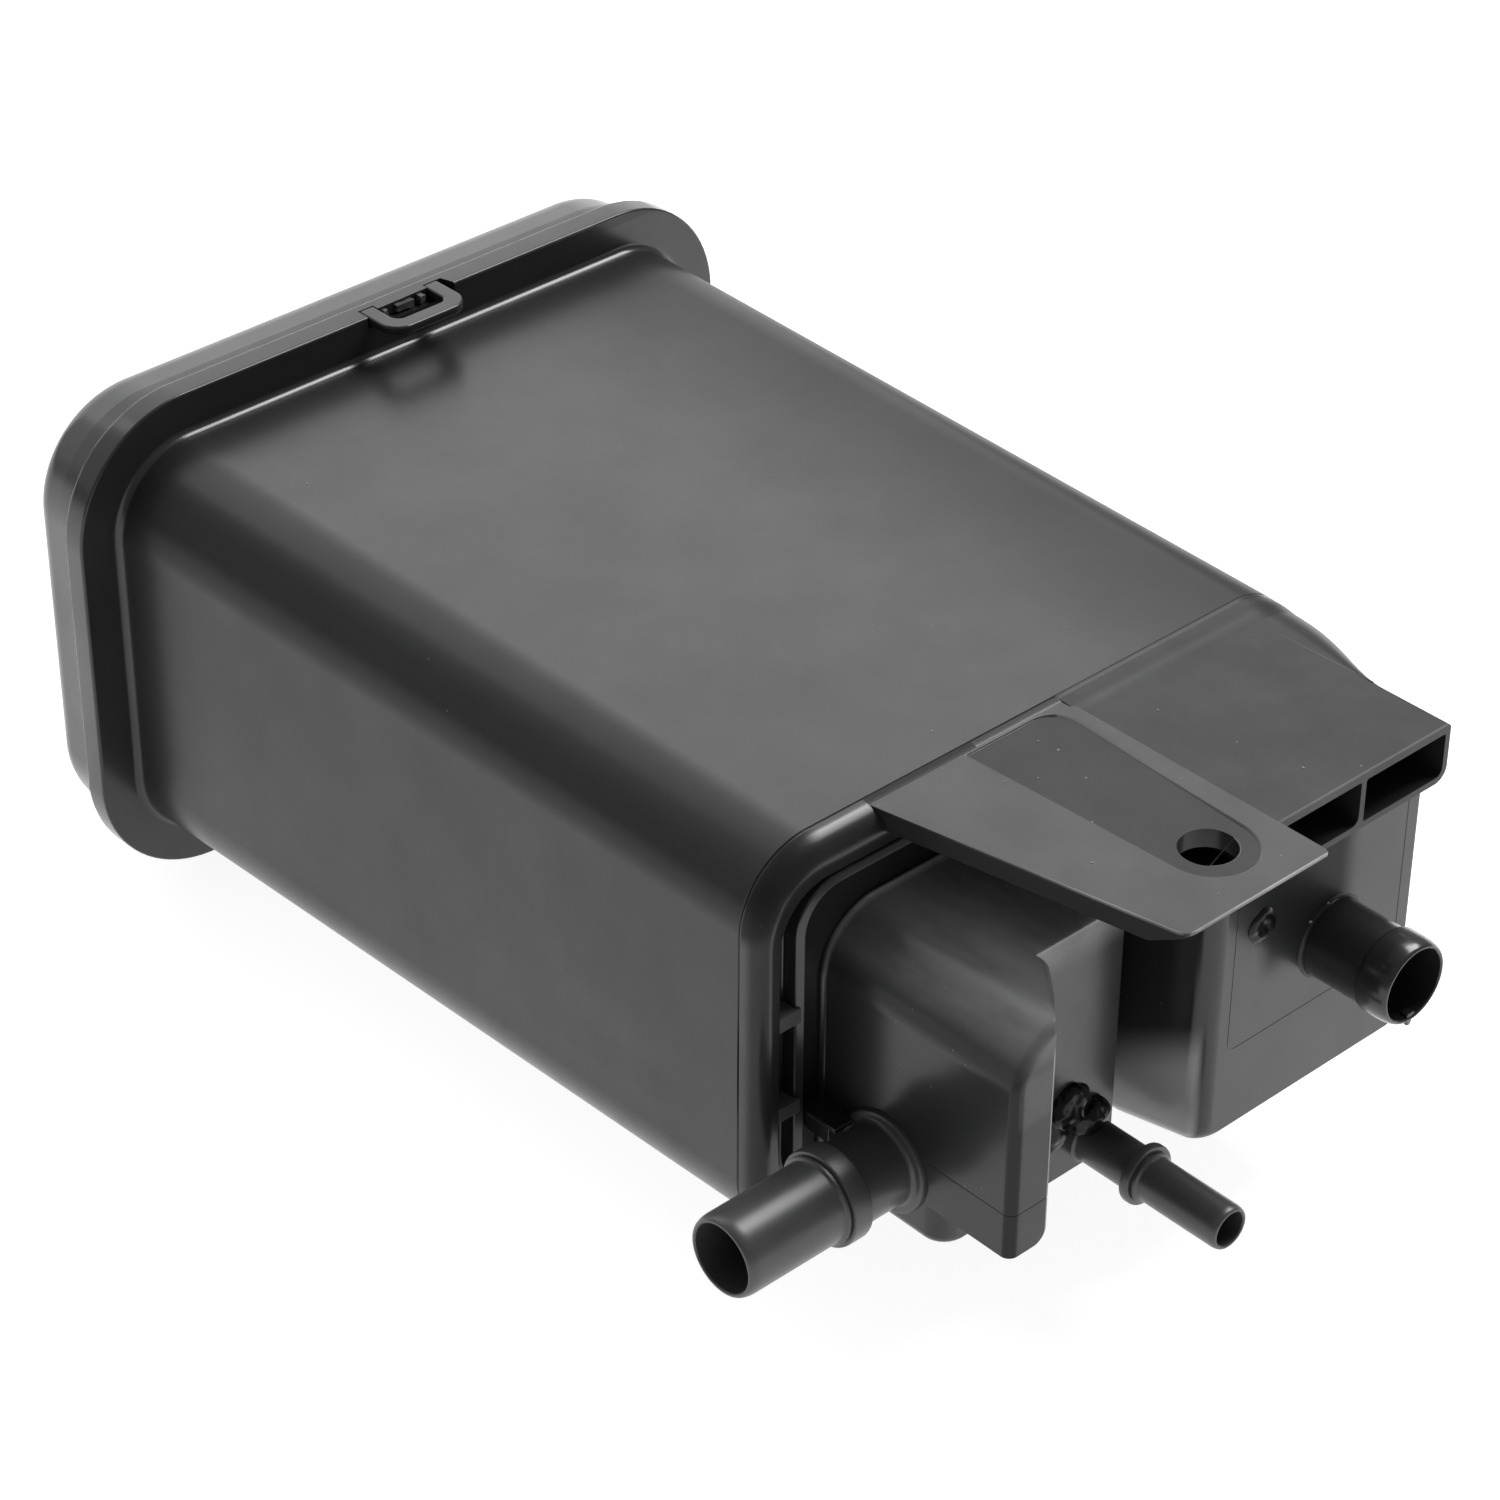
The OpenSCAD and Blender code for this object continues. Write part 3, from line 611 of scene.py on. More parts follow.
# Film tints: each serves as real dust, haze or rubbed wear on some patches and as painted light on others.
DUST_AND_LIGHT: Colour = (0.155, 0.157, 0.156, 1)
HAZE_AND_LIGHT: Colour = (0.3, 0.303, 0.302, 1)
RUBBED_AND_LIT: Colour = (0.49, 0.495, 0.494, 1)


class Sock:
    """A shader socket that takes part in Python expressions."""

    def __init__(self, paint: Paint, socket: bpy.types.NodeSocket) -> None:
        """Keeps the socket and the tree it belongs to."""
        self.paint, self.socket = paint, socket

    def _math(self, operation: str, a: Any, b: Any) -> Sock:
        """Adds a Math node for two values."""
        return self.paint.node("ShaderNodeMath", {"operation": operation}, {0: a, 1: b})

    def __add__(self, other: Any) -> Sock:
        """Adds."""
        return self._math("ADD", self, other)

    __radd__ = __add__

    def __sub__(self, other: Any) -> Sock:
        """Subtracts."""
        return self._math("SUBTRACT", self, other)

    def __rsub__(self, other: Any) -> Sock:
        """Subtracts this from a number."""
        return self._math("SUBTRACT", other, self)

    def __mul__(self, other: Any) -> Sock:
        """Multiplies."""
        return self._math("MULTIPLY", self, other)

    def above(self, edge: float, width: float) -> Sock:
        """Makes a mask that rises from 0 to 1 over a width from an edge."""
        values = {"Value": self, "From Min": edge, "From Max": edge + width}
        return self.paint.node("ShaderNodeMapRange", {"interpolation_type": "SMOOTHSTEP"}, values)


class Paint:
    """A node tree of one material, written as expressions."""

    def __init__(self, finish: Finish) -> None:
        """Makes an empty material with one Principled shader.

        Args:
            finish: The finish that gives the material its name.
        """
        self.material = bpy.data.materials.new(finish.value)
        self.material.use_nodes = True
        self.tree = self.material.node_tree
        self.tree.nodes.clear()
        self.shader = self.tree.nodes.new("ShaderNodeBsdfPrincipled")
        out = self.tree.nodes.new("ShaderNodeOutputMaterial")
        self.tree.links.new(self.shader.outputs["BSDF"], out.inputs["Surface"])
        self.spot = self.node("ShaderNodeTexCoord", {}, {}, "Object")

    def fed(self, socket: bpy.types.NodeSocket, value: Any) -> None:
        """Links or sets an input.

        Args:
            socket: The input.
            value: A socket to link to it, or its value.
        """
        if isinstance(value, Sock):
            self.tree.links.new(value.socket, socket)
        else:
            socket.default_value = value

    def node(self, kind: str, settings: dict[str, Any], inputs: dict[Any, Any], output: Any = 0) -> Sock:
        """Adds a node.

        Args:
            kind: Type of the node.
            settings: Its own settings by name.
            inputs: Values or links of its sockets, by name or number.
            output: The socket that is wanted.

        Returns:
            That socket.
        """
        node = self.tree.nodes.new(kind)
        for key, value in settings.items():
            setattr(node, key, value)
        for key, value in inputs.items():
            self.fed(node.inputs[key], value)
        return Sock(self, node.outputs[output])

    def grain(self, grain: Grain) -> Sock:
        """Draws a noise from 0 to 1.

        Args:
            grain: The noise.

        Returns:
            Its value, or its mask.
        """
        where = self.spot
        if grain.stretch:
            turn = (0.0, 0.0, math.radians(grain.turn))
            values = {"Vector": where, "Scale": grain.stretch, "Rotation": turn}
            where = self.node("ShaderNodeMapping", {}, values)
        values = {"Vector": where, "Scale": grain.scale, "Detail": grain.detail, "Roughness": grain.rough}
        value = self.node("ShaderNodeTexNoise", {}, values)
        return value.above(*grain.above) if grain.above else value

    def cells(self, scale: float) -> Sock:
        """Gives the distance to scattered points at a scale per metre."""
        values = {"Vector": self.spot, "Scale": scale, "Randomness": 1.0}
        return self.node("ShaderNodeTexVoronoi", {}, values, "Distance")

    def mix(self, share: Any, a: Any, b: Any) -> Sock:
        """Mixes two colours."""
        return self.node("ShaderNodeMix", {"data_type": "RGBA"}, {"Factor": share, 6: a, 7: b}, 2)

    def bump(self, height: Sock, depth: float, strength: float) -> Sock:
        """Makes a normal from a height from 0 to 1 of a depth in millimetres."""
        return self.node("ShaderNodeBump", {}, {"Height": height, "Distance": depth * MM, "Strength": strength})

    def wear(self, **inputs: Any) -> bpy.types.Material:
        """Sets the shader's sockets and gives the material.

        Args:
            **inputs: Values or links by socket name, with _ for a space.

        Returns:
            The material.
        """
        for key, value in inputs.items():
            self.fed(self.shader.inputs[key.replace("_", " ")], value)
        return self.material


@dataclass(frozen=True)
class Patch:
    """A region of a surface whose skin differs, bounded by soft planes in the body's frame.

    Each side holds a direction, a distance along it in millimetres and the width of the change. A lower coat on
    a patch is painted shade in the reflection, and a film is painted light as well as dust and wear.
    """

    sides: tuple[tuple[Way, float, float], ...]
    coat: float = 1.0
    film: float = 0.0
    streaks: float = 0.0
    tint: Colour = DUST_AND_LIGHT

    def mask(self, p: Paint) -> Sock:
        """Gives the region as a value from 0 to 1.

        Args:
            p: The material that is being painted.

        Returns:
            The mask.
        """
        mask: Any = None
        dot = {"operation": "DOT_PRODUCT"}
        for way, edge, width in self.sides:
            along = p.node("ShaderNodeVectorMath", dot, {0: p.spot, 1: way.value}, "Value")
            side = along.above((edge - Vector(way.value).dot(BOLT_HOLE)) * MM, width * MM)
            mask = side if mask is None else mask * side
        if self.streaks:
            mask = mask * (p.grain(STREAKS) * self.streaks + (1 - self.streaks))
        return mask


@dataclass(frozen=True)
class Moulded:
    """Black moulded plastic: a fine skin, cloudy gloss, dust specks and hair scratches."""

    finish: Finish
    dark: Colour = (0.0115, 0.0118, 0.012, 1)
    pale: Colour = (0.0185, 0.0189, 0.0191, 1)
    gloss: float = 0.2
    haze: float = 0.26
    cloud: float = 0.2
    specks: float = 0.6
    scratches: float = 0.6
    coat: float = 0.9
    smudge: float = 0.25
    patches: tuple[Patch, ...] = ()

    def material(self) -> bpy.types.Material:
        """Builds the material.

        Returns:
            A material on object coordinates.
        """
        p = Paint(self.finish)
        clouds, skin = p.grain(CLOUDS), p.grain(SKIN)
        dust = 1 - p.cells(DUST_SCALE).above(*DUST_GRAIN)
        patchy = p.grain(PATCHY)
        marks = (p.grain(HAIRS) + p.grain(RUBS)) * patchy * self.scratches
        specks = dust * patchy * self.specks
        colour = p.mix(specks, p.mix(clouds, self.dark, self.pale), DUST_AND_LIGHT)
        coat: Any = ((p.grain(SMUDGES) - 0.5) * (2 * self.smudge) + 1) * self.coat
        # Patches lay painted light and shade as well as dust and wear: a film mixes in its tint, and a lower
        # coat dulls the reflection.
        for patch in self.patches:
            mask = patch.mask(p)
            if patch.film:
                colour = p.mix(mask * patch.film, colour, patch.tint)
            if patch.coat != 1.0:
                coat = coat * (1 - mask * (1 - patch.coat))
        rough = self.gloss + self.haze + (clouds - 0.5) * self.cloud + marks * MARK_ROUGH + specks * DUST_ROUGH
        relief = p.bump(skin * SKIN_RISE + marks * MARK_RISE + specks * DUST_RISE, RELIEF, RELIEF_STRENGTH)
        under = {"IOR": 1.5, "Specular_IOR_Level": 0.1}
        clear = {"Coat_Weight": coat, "Coat_Roughness": self.gloss, "Coat_IOR": 1.5}
        return p.wear(Base_Color=colour, Roughness=rough, Normal=relief, **under, **clear)


@dataclass(frozen=True)
class Plain:
    """A simple grained finish for the pieces inside and for the specks."""

    finish: Finish
    colour: Colour
    other: Colour
    scale: float
    rough: float
    depth: float
    metal: float = 0.0

    def material(self) -> bpy.types.Material:
        """Builds the material.

        Returns:
            A material on object coordinates.
        """
        p = Paint(self.finish)
        grain = p.grain(Grain(self.scale, 4.0, 0.65))
        colour = p.mix(grain, self.colour, self.other)
        rough = self.rough + (grain - 0.5) * 0.2
        relief = p.bump(grain, self.depth, 0.6)
        return p.wear(Base_Color=colour, Roughness=rough, Metallic=self.metal, Normal=relief)


@dataclass(frozen=True)
class Glowing:
    """White light-table acrylic, lit from below."""

    finish: Finish
    colour: Colour = (0.45, 0.45, 0.45, 1)
    light: Colour = (1, 1, 1, 1)
    glow: float = 0.9
    rough: float = 0.9

    def material(self) -> bpy.types.Material:
        """Builds the plain glowing material."""
        glow = {"Emission_Color": self.light, "Emission_Strength": self.glow}
        return Paint(self.finish).wear(Base_Color=self.colour, Roughness=self.rough, **glow)


# Body and cover: the rounded front edge, the line behind the bracket, the flanges and the walls
# The nose patches dull the coat on the rounded front edge and its corner: painted shade for the dark
# surroundings it reflects.
NOSE = ((Way.FRONT, 1.0, 2.2), (Way.BACK, -5.45, 0.3))
NOSE_LEFT = Patch((*NOSE, (Way.LEFT, 65.0, 0.3)), coat=0.38)
NOSE_TOP = Patch((*NOSE, (Way.UP, 35.2, 0.3)), coat=0.3)
NOSE_CORNER = Patch(((Way.UP_LEFT, 67.0, 2.6), (Way.FRONT, 0.3, 0.3), (Way.BACK, -5.45, 0.3)), coat=0.12)
LINE = (Way.FRONT, 0.15, 0.15)
# The line behind the plate gets a dulled coat as painted shade in the gap, and a less dulled one where it keeps
# a weaker glint.
PLATE_GAP = Patch((LINE, (Way.UP, 41.8, 0.3), (Way.LEFT, 14.5, 0.5), (Way.RIGHT, -41.5, 0.5)), coat=0.08)
PLATE_GLINT = Patch((LINE, (Way.UP, 41.4, 0.3), (Way.RIGHT, -14.8, 0.5), (Way.LEFT, -8.0, 2.0)), coat=0.45)
FLANGE_TOP = Patch(((Way.BACK, 166.0, 0.3), (Way.FRONT, -180.4, 0.2), (Way.UP, 51.5, 0.5)), coat=0.75)
COVER_BAND = Patch(((Way.BACK, 180.3, 0.2), (Way.FRONT, -187.9, 0.3), (Way.UP, 30.0, 20.0)), coat=0.62)
# The films on the cover's upturned strip and its left corner are painted light, lifting their tone.
COVER_STRIP_LIGHT = Patch(((Way.BACK, 187.8, 0.3),), coat=0.88, film=0.12)
COVER_CORNER_LIGHT = Patch(((Way.UP_LEFT, 79.0, 4.0), (Way.BACK, 180.2, 0.2)), film=0.36)
# The wall patches dull the coat to paint shade into the reflections on the side, the rounded top edge and the
# right of the top.
SIDE = (Way.LEFT, 64.0, 4.0)
SIDE_BACK = Patch(((Way.BACK, 30.0, 130.0), SIDE), coat=0.8)
SIDE_TOP = Patch(((Way.UP, -28.0, 56.0), SIDE), coat=0.74)
EDGE_BAND = Patch(((Way.BODY_EDGE, 68.7, 2.4),), coat=0.62)
TOP_RIGHT = Patch(((Way.RIGHT, 5.0, 60.0), (Way.UP, 36.0, 4.0)), coat=0.42)

# Tank dome and its flag
# The films on the dome's top are partly dust and partly painted light, lifting the top where the bracket shades
# it.
DOME_TOP_DUST_AND_LIGHT = Patch(((Way.UP, 15.0, 8.0),), film=0.55, streaks=0.6, tint=HAZE_AND_LIGHT)
DOME_SHADE_LIGHTENED = Patch(((Way.UP, 22.5, 1.5), (Way.RIGHT, -49.0, 12.0)), film=0.62, streaks=0.5, tint=RUBBED_AND_LIT)
# The dome's rounded edge and the flag's side, edge and front get dulled coats: painted shade in their
# reflections.
DOME_ROUND = Patch(((Way.UP_LEFT, 46.3, 1.8),), coat=0.4)
TIP = (Way.FRONT, 50.6, 0.2)
FLAG_SIDE = Patch(((Way.FRONT, 20.0, 22.0), (Way.LEFT, 50.0, 2.0)), coat=0.78)
FLAG_EDGE = Patch(((Way.FRONT_LEFT, 72.15, 0.45),), coat=0.3)
FLAG_FRONT = Patch((TIP,), coat=0.66)
# The pale film along the flag's right front edge is a painted highlight.
FLAG_HIGHLIGHT = Patch(
    ((Way.RIGHT, -44.55, 0.1), (Way.FRONT, 50.7, 0.1), (Way.DOWN, -20.0, 3.0)), film=0.6, tint=RUBBED_AND_LIT
)
FLAG_RUB = Patch((TIP, (Way.UP, 4.0, 3.0), (Way.DOWN, -17.0, 3.0)), film=0.14, streaks=0.8, tint=HAZE_AND_LIGHT)

# Vent dome and the root of its port
# The vent ring and root patches dull the coat round the vent port's root: painted shade for the dark
# reflections there.
VENT_RING = Patch(((Way.FRONT, 48.2, 0.2), (Way.BACK, -49.6, 0.3)), coat=0.3)
VENT_ROOT = Patch(
    ((Way.FRONT, 48.3, 0.1), (Way.RIGHT, 9.0, 6.0), (Way.LEFT, -37.0, 6.0), (Way.UP, 1.0, 8.0)), coat=0.08
)
# The pale film low on the vent dome's left side is a painted reflection of the bright floor.
VENT_SIDE_REFLECTION = Patch(((Way.DOWN_FRONT, 27.0, 12.0), (Way.LEFT, 0.9, 1.2)), film=0.7, tint=RUBBED_AND_LIT)

# Bracket and tunnel
RECESS = Patch(((Way.DOWN, -42.08, 0.1),), coat=0.46)
# The plate's left side gets a dulled coat as painted shade.
PLATE_SIDE = Patch(((Way.PLATE_EDGE, 40.0, 0.2), (Way.DOWN, -41.95, 0.2)), coat=0.08)
WORN_EDGE = ((Way.PLATE_EDGE, 40.2, 0.15), (Way.UP, 41.7, 0.2), (Way.FRONT, 30.0, 25.0))
WORN_LEFT = Patch(WORN_EDGE, film=0.4, streaks=0.8, tint=RUBBED_AND_LIT)
WORN_FRONT = Patch(((Way.FRONT, 64.1, 0.2), (Way.UP, 41.3, 0.2)), film=0.5, streaks=0.7, tint=RUBBED_AND_LIT)
WORN_MOUTH = Patch(((Way.FRONT, 52.05, 0.15), (Way.UP, 41.3, 0.2)), film=0.45)

FRONT_PATCHES = (NOSE_LEFT, NOSE_TOP, NOSE_CORNER, PLATE_GAP, PLATE_GLINT, VENT_RING)
COVER_PATCHES = (FLANGE_TOP, COVER_BAND, COVER_STRIP_LIGHT, COVER_CORNER_LIGHT)
WALL_PATCHES = (SIDE_BACK, SIDE_TOP, EDGE_BAND, TOP_RIGHT)
DOME_PATCHES = (DOME_TOP_DUST_AND_LIGHT, DOME_SHADE_LIGHTENED, DOME_ROUND, FLAG_SIDE, FLAG_EDGE, FLAG_FRONT, FLAG_HIGHLIGHT, FLAG_RUB)
PLATE_PATCHES = (RECESS, PLATE_SIDE, WORN_LEFT, WORN_FRONT)

FINISHES: tuple[Moulded | Plain | Glowing, ...] = (
    Moulded(Finish.SHELL, patches=FRONT_PATCHES + COVER_PATCHES),
    Moulded(Finish.PORT, (0.034, 0.0345, 0.0348, 1), (0.052, 0.0526, 0.0529, 1), 0.36, haze=0.2, coat=1.0),
    Moulded(Finish.WALL, gloss=0.29, patches=WALL_PATCHES),
    Moulded(Finish.DOME, gloss=0.22, patches=DOME_PATCHES),
    Moulded(Finish.VENT, coat=0.75, patches=(VENT_SIDE_REFLECTION, VENT_ROOT)),
    Moulded(Finish.BRACKET, gloss=0.27, specks=0.8, scratches=0.9, smudge=0.4, patches=PLATE_PATCHES),
    Moulded(Finish.TUNNEL, gloss=0.3, specks=0.8, coat=0.49, smudge=0.55, patches=(WORN_MOUTH,)),
    Moulded(Finish.WELD, (0.03, 0.03, 0.03, 1), (0.09, 0.09, 0.088, 1), 0.36, specks=0.9, scratches=0.2),
    Moulded(Finish.GLOSSY, (0.003, 0.003, 0.003, 1), (0.005, 0.005, 0.005, 1), 0.1, 0.2, 0.05, 0.0, 0.0, 0.28),
    # Pale finish: rubbed wear on the hole's rim, and painted highlight on the tunnel's ridge, the bridges and
    # the rib edge.
    Moulded(
        Finish.WORN_AND_LIT, (0.05, 0.05, 0.049, 1), (0.1, 0.1, 0.098, 1), 0.4, specks=0.3, scratches=0.2, coat=0.5
    ),
    Plain(Finish.SPECK, (0.12, 0.12, 0.117, 1), (0.3, 0.3, 0.294, 1), 700.0, 0.5, 0.1),
    Plain(Finish.FELT, (0.33, 0.32, 0.29, 1), (0.55, 0.54, 0.5, 1), 900.0, 0.9, 0.3),
    Plain(Finish.CARBON, (0.006, 0.006, 0.006, 1), (0.03, 0.03, 0.03, 1), 420.0, 0.75, 0.9),
    Plain(Finish.PLATE, (0.03, 0.031, 0.034, 1), (0.045, 0.046, 0.05, 1), 300.0, 0.5, 0.05),
    Plain(Finish.SPRING, (0.5, 0.5, 0.51, 1), (0.62, 0.62, 0.63, 1), 700.0, 0.35, 0.02, 1.0),
    Glowing(Finish.FLOOR),
)


# Sub-assemblies


@dataclass
class Body:
    """The drafted box with its rounded front edge, trench, parting line and flange."""

    half_w: float = 70.0
    half_h: float = 42.5
    corner: float = 15.5
    length: float = 175.0
    draft_w: float = 3.3
    draft_h: float = 2.7
    draft_r: float = 2.1
    stations: tuple[float, ...] = (3.0, 60.0, 120.0, 168.0)
    # Distances along the body between which it has the wall's finish
    wall_skin: Flat = (0.2, 173.3)
    nose: float = 5.5
    nose_w: float = 3.2
    nose_h: float = 5.5
    nose_r: float = 3.5
    rim: float = 1.7
    rim_r: float = 11.0
    rim_soft: float = 0.35
    trench_w: float = 4.2
    trench_h: float = 1.0
    trench_deep: float = 4.0
    trench_soft: float = 0.5
    ledge: float = 1.75
    ledge_r: float = 10.0
    ledge_fall: float = 0.8
    ledge_soft: Flat = (0.45, 0.4)
    floor_deep: float = 2.2
    line_half: float = 0.25
    line_floor: float = 0.06
    line_deep: float = 0.3
    flange: float = 9.1
    flange_t: float = 3.3
    flange_soft: float = 0.6
    fillet: float = 1.6
    notch_left: float = 0.2
    notch_right: Flat = (2.4, 0.8)
    notch_shelf: Flat = (1.7, 1.9)
    notch_heights: Flat = (9.2, 13.0)

    @property
    def weld(self) -> float:
        """Gives the place where the two flanges meet."""
        return self.length + self.flange_t

    def wall(self, y: float) -> Ring:
        """Gives the drafted outside at a distance from the parting line."""
        t = y / self.length
        return Ring.centred(
            y, self.half_w + self.draft_w * t, self.half_h + self.draft_h * t, self.corner + self.draft_r * t
        )

    def edge(self) -> Ring:
        """Gives the outline of the flange."""
        return self.wall(self.length).grown(self.flange)

    def front(self) -> list[Ring]:
        """Gives the rings of the front end, from its floor out to the rounded edge.

        Returns:
            Rings in order.
        """
        y = -self.nose
        w, h = self.half_w - self.nose_w - self.rim, self.half_h - self.nose_h - self.rim
        rim = Ring.centred(y, w, h, self.rim_r, self.rim_soft)
        w, h = rim.right - self.trench_w, rim.high - self.trench_h
        ledge = Ring.centred(y + self.ledge_fall, w, h, self.ledge_r, self.ledge_soft[0])
        inner = ledge.grown(-self.ledge, y, self.ledge_soft[1])
        trench = [ring.grown(0, y + self.trench_deep, self.trench_soft) for ring in (ledge, rim)]
        rings = [inner.grown(0, y + self.floor_deep), inner, ledge, *trench, rim]
        for a in arc(12):
            k = 1 - math.sin(a)
            w, h = self.half_w - self.nose_w * k, self.half_h - self.nose_h * k
            rings.append(Ring.centred(y * math.cos(a), w, h, self.corner - self.nose_r * k))
        rings[-1] = replace(rings[-1], y=-self.line_half)
        return rings

    def back(self) -> list[Ring]:
        """Gives the rings of the parting line, the wall, its fillet and the flange.

        Returns:
            Rings in order.
        """
        rings = [self.wall(0.0).grown(-self.line_deep, y) for y in (-self.line_floor, self.line_floor)]
        rings += [self.wall(y) for y in (self.line_half, *self.stations)]
        for a in arc(7):
            y = self.length - self.fillet * (1 - math.sin(a))
            rings.append(self.wall(y).grown(self.fillet * (1 - math.cos(a))))
        return rings + [replace(self.edge(), soft=self.flange_soft), self.edge().grown(0, self.weld)]

    def notched(self, half_w: float, wide: float) -> Form:
        """Builds the body with the cut in the top of its flange that the loop clip fills.

        Args:
            half_w: Distance from the middle to the outside of the clip.
            wide: Width of each leg of the clip.

        Returns:
            The form.
        """
        front, back, inner = self.length - 1, self.weld + 0.5, half_w - wide
        left, right = -half_w - self.notch_left, [half_w + gap for gap in self.notch_right]
        shelf = [self.length + deep for deep in self.notch_shelf]
        cut = [(left, front), (right[0], front), (right[1], back), (inner, back)]
        cut += [(inner, shelf[1]), (-inner, shelf[0]), (-inner, back), (left, back)]
        low, high = (self.half_h + z for z in self.notch_heights)
        form = Form().loft(softened(self.front() + self.back()), steps=20)
        return form.less(Form().prism(cut, low, high))


@dataclass
class Cover:
    """The welded rear cover with its pan, the loop clip and the weld."""

    body: Body
    flange_t: float = 2.1
    flange_soft: float = 0.6
    step: float = 3.5
    step_soft: float = 0.9
    pan: float = 16.6
    pan_in: float = 14.0
    edge: float = 5.0
    taper: float = 1.0
    loop_w: float = 10.0
    loop_reach: float = 8.1
    loop_bar: float = 3.6
    loop_t: float = 2.0
    loop_r: float = 4.5
    loop_cut: float = 1.2
    bead_in: float = 0.42
    bead_out: float = 0.28
    bead_half: float = 0.25
    bead_front: float = 0.1

    def build(self) -> Form:
        """Builds the flange and the pan.

        Returns:
            The form.
        """
        edge, y = self.body.edge(), self.body.weld
        back = y + self.flange_t
        pan = edge.grown(-self.step, back, self.step_soft)
        end = edge.grown(-self.step - self.taper, back + self.pan, self.edge)
        rings = [edge.grown(0, y), edge.grown(0, back, self.flange_soft), pan, end, end.grown(-self.pan_in)]
        return Form().loft(softened(rings, 8), steps=20)

    def loop(self) -> Form:
        """Builds the loop clip at the top of the flange.

        Returns:
            The form.
        """
        weld, top = self.body.weld, self.body.edge().high
        front = self.body.length - self.loop_reach
        r, w, c = self.loop_r, self.loop_w, self.loop_cut
        left = [(r - w + r * math.cos(a), front + r + r * math.sin(a)) for a in arc(8, 180)]
        outer = left + [(-x, y) for x, y in reversed(left)]
        inner, bar = w - self.loop_bar, front + self.loop_bar
        window = [(inner, weld), (inner, bar + c), (inner - c, bar)]
        window += [(-x, y) for x, y in reversed(window)]
        return Form().prism([(-w, weld)] + outer + [(w, weld)] + window, top - self.loop_t, top)

    def bead(self) -> Form:
        """Builds the uneven weld between the two flanges.

        Returns:
            The form.
        """
        edge, y = self.body.edge(), self.body.weld + self.flange_t
        rings = []
        for a in arc(6, 0, 180):
            out = -self.bead_in + self.bead_out * math.sin(a)
            rings.append(edge.grown(out, y - self.bead_front - self.bead_half * math.cos(a)))
        return Form().loft(rings, steps=30, straight=90, closed=False).rough(1.6, 0.14)


def rooted(outline: Callable[[float, float], Ring], root: float, fillet: float) -> list[Ring]:
    """Gives the rings of the fillet where a dome grows out of the front wall.

    Args:
        outline: Gives the dome's outline by its place along the body and how far it is drawn in.
        root: Place of the front wall.
        fillet: Radius of the fillet.

    Returns:
        Rings in order, from inside the wall.
    """
    sunk = 0.4
    rings = [outline(root + sunk, -fillet)]
    rings += [outline(root - fillet * (1 - math.cos(a)), -fillet * (1 - math.sin(a))) for a in arc(6)]
    return rings


@dataclass
class TankDome:
    """The left dome with its flag and the roof that braces it."""

    left: float = -53.2
    right: float = -9.2
    low: float = -31.8
    high: float = 24.2
    edge: float = 12.0
    small: float = 2.5
    front: float = -34.5
    front_r: float = 0.8
    corner: float = 4.5
    root: float = -4.0
    fillet: float = 0.9
    flag_t: float = 9.0
    flag_tip: float = -51.0
    flag_low: float = -23.0
    tip_r: float = 2.0
    foot_r: float = 3.0
    brow_r: float = 1.5
    gusset: float = 11.2
    gusset_bend: Flat = (0.6, 0.43)
    gusset_back: float = 0.76
    rib: float = 2.0
    score_z: float = -13.5
    score: Flat = (0.3, 0.14)

    def outline(self, y: float, inset: float = 0.0, corner: float = 0.0) -> Ring:
        """Gives the dome's outline.

        Args:
            y: Place along the body.
            inset: How far all sides are drawn in.
            corner: How much more the left side is drawn in.

        Returns:
            The ring.
        """
        s = max(0.2, self.small - inset)
        radii = (s, self.edge - inset, s, s)
        low, high = self.low + inset, self.high - inset
        return Ring(y, self.left + inset + corner, self.right - inset, low, high, radii)

    def dome(self) -> Form:
        """Builds the dome.

        Returns:
            The form.
        """
        rings = rooted(self.outline, self.root, self.fillet)
        for a in arc(8):
            k, y = 1 - math.cos(a), self.front + self.corner * (1 - math.sin(a))
            rings.append(self.outline(y, self.front_r * k, (self.corner - self.front_r) * k))
        return Form().loft(rings, steps=16)

    def forward(self) -> Form:
        """Carries the dome's outline on to the flag's rounded tip.

        Returns:
            The form, before it is cut to the flag and its roof.
        """
        r = self.tip_r
        rings = [self.outline(self.front + self.corner)]
        rings += [self.outline(self.flag_tip + r * (1 - math.sin(a)), r * (1 - math.cos(a))) for a in arc(8)]
        return Form().loft(rings, steps=16)

    def flag(self) -> Form:
        """Builds the flag that carries the outer wall forward, with the roof that braces it.

        Returns:
            The form.
        """
        past, over, near = 5.0, 2.0, 1e-5
        inner = self.left + self.flag_t
        edge = inner + self.gusset
        reach, clear = self.flag_tip - self.front, self.flag_tip - past
        back, under = self.front + self.corner + 1, self.high - self.rib
        form = self.forward().less(Form().box((inner, clear, self.low - past), (0, back, under)))
        wide, deep = self.gusset_bend
        brace = [(inner, self.flag_tip + 0.5), (inner + self.gusset * wide, self.flag_tip - reach * deep)]
        brace += [(edge, self.flag_tip - reach * self.gusset_back), (edge, back), (0, back)]
        brace += [(0, clear), (inner, clear)]
        form.less(Form().prism(brace, under - over, self.high + over))
        form.halved((0, 0, self.flag_low), Way.DOWN.value)
        spot = place(inner, 0, self.flag_low)
        foot = []
        for e in form.bm.edges:
            if all(abs(v.co.x - spot.x) + abs(v.co.z - spot.z) < near for v in e.verts):
                foot.append(e)
        form.rounded_off(foot, self.foot_r, 8)
        form.eased(self.brow_r, 5, self.high - 0.5, self.left + self.edge - 0.2)
        return form.scored((0, 0, self.score_z), Way.UP.value, *self.score)


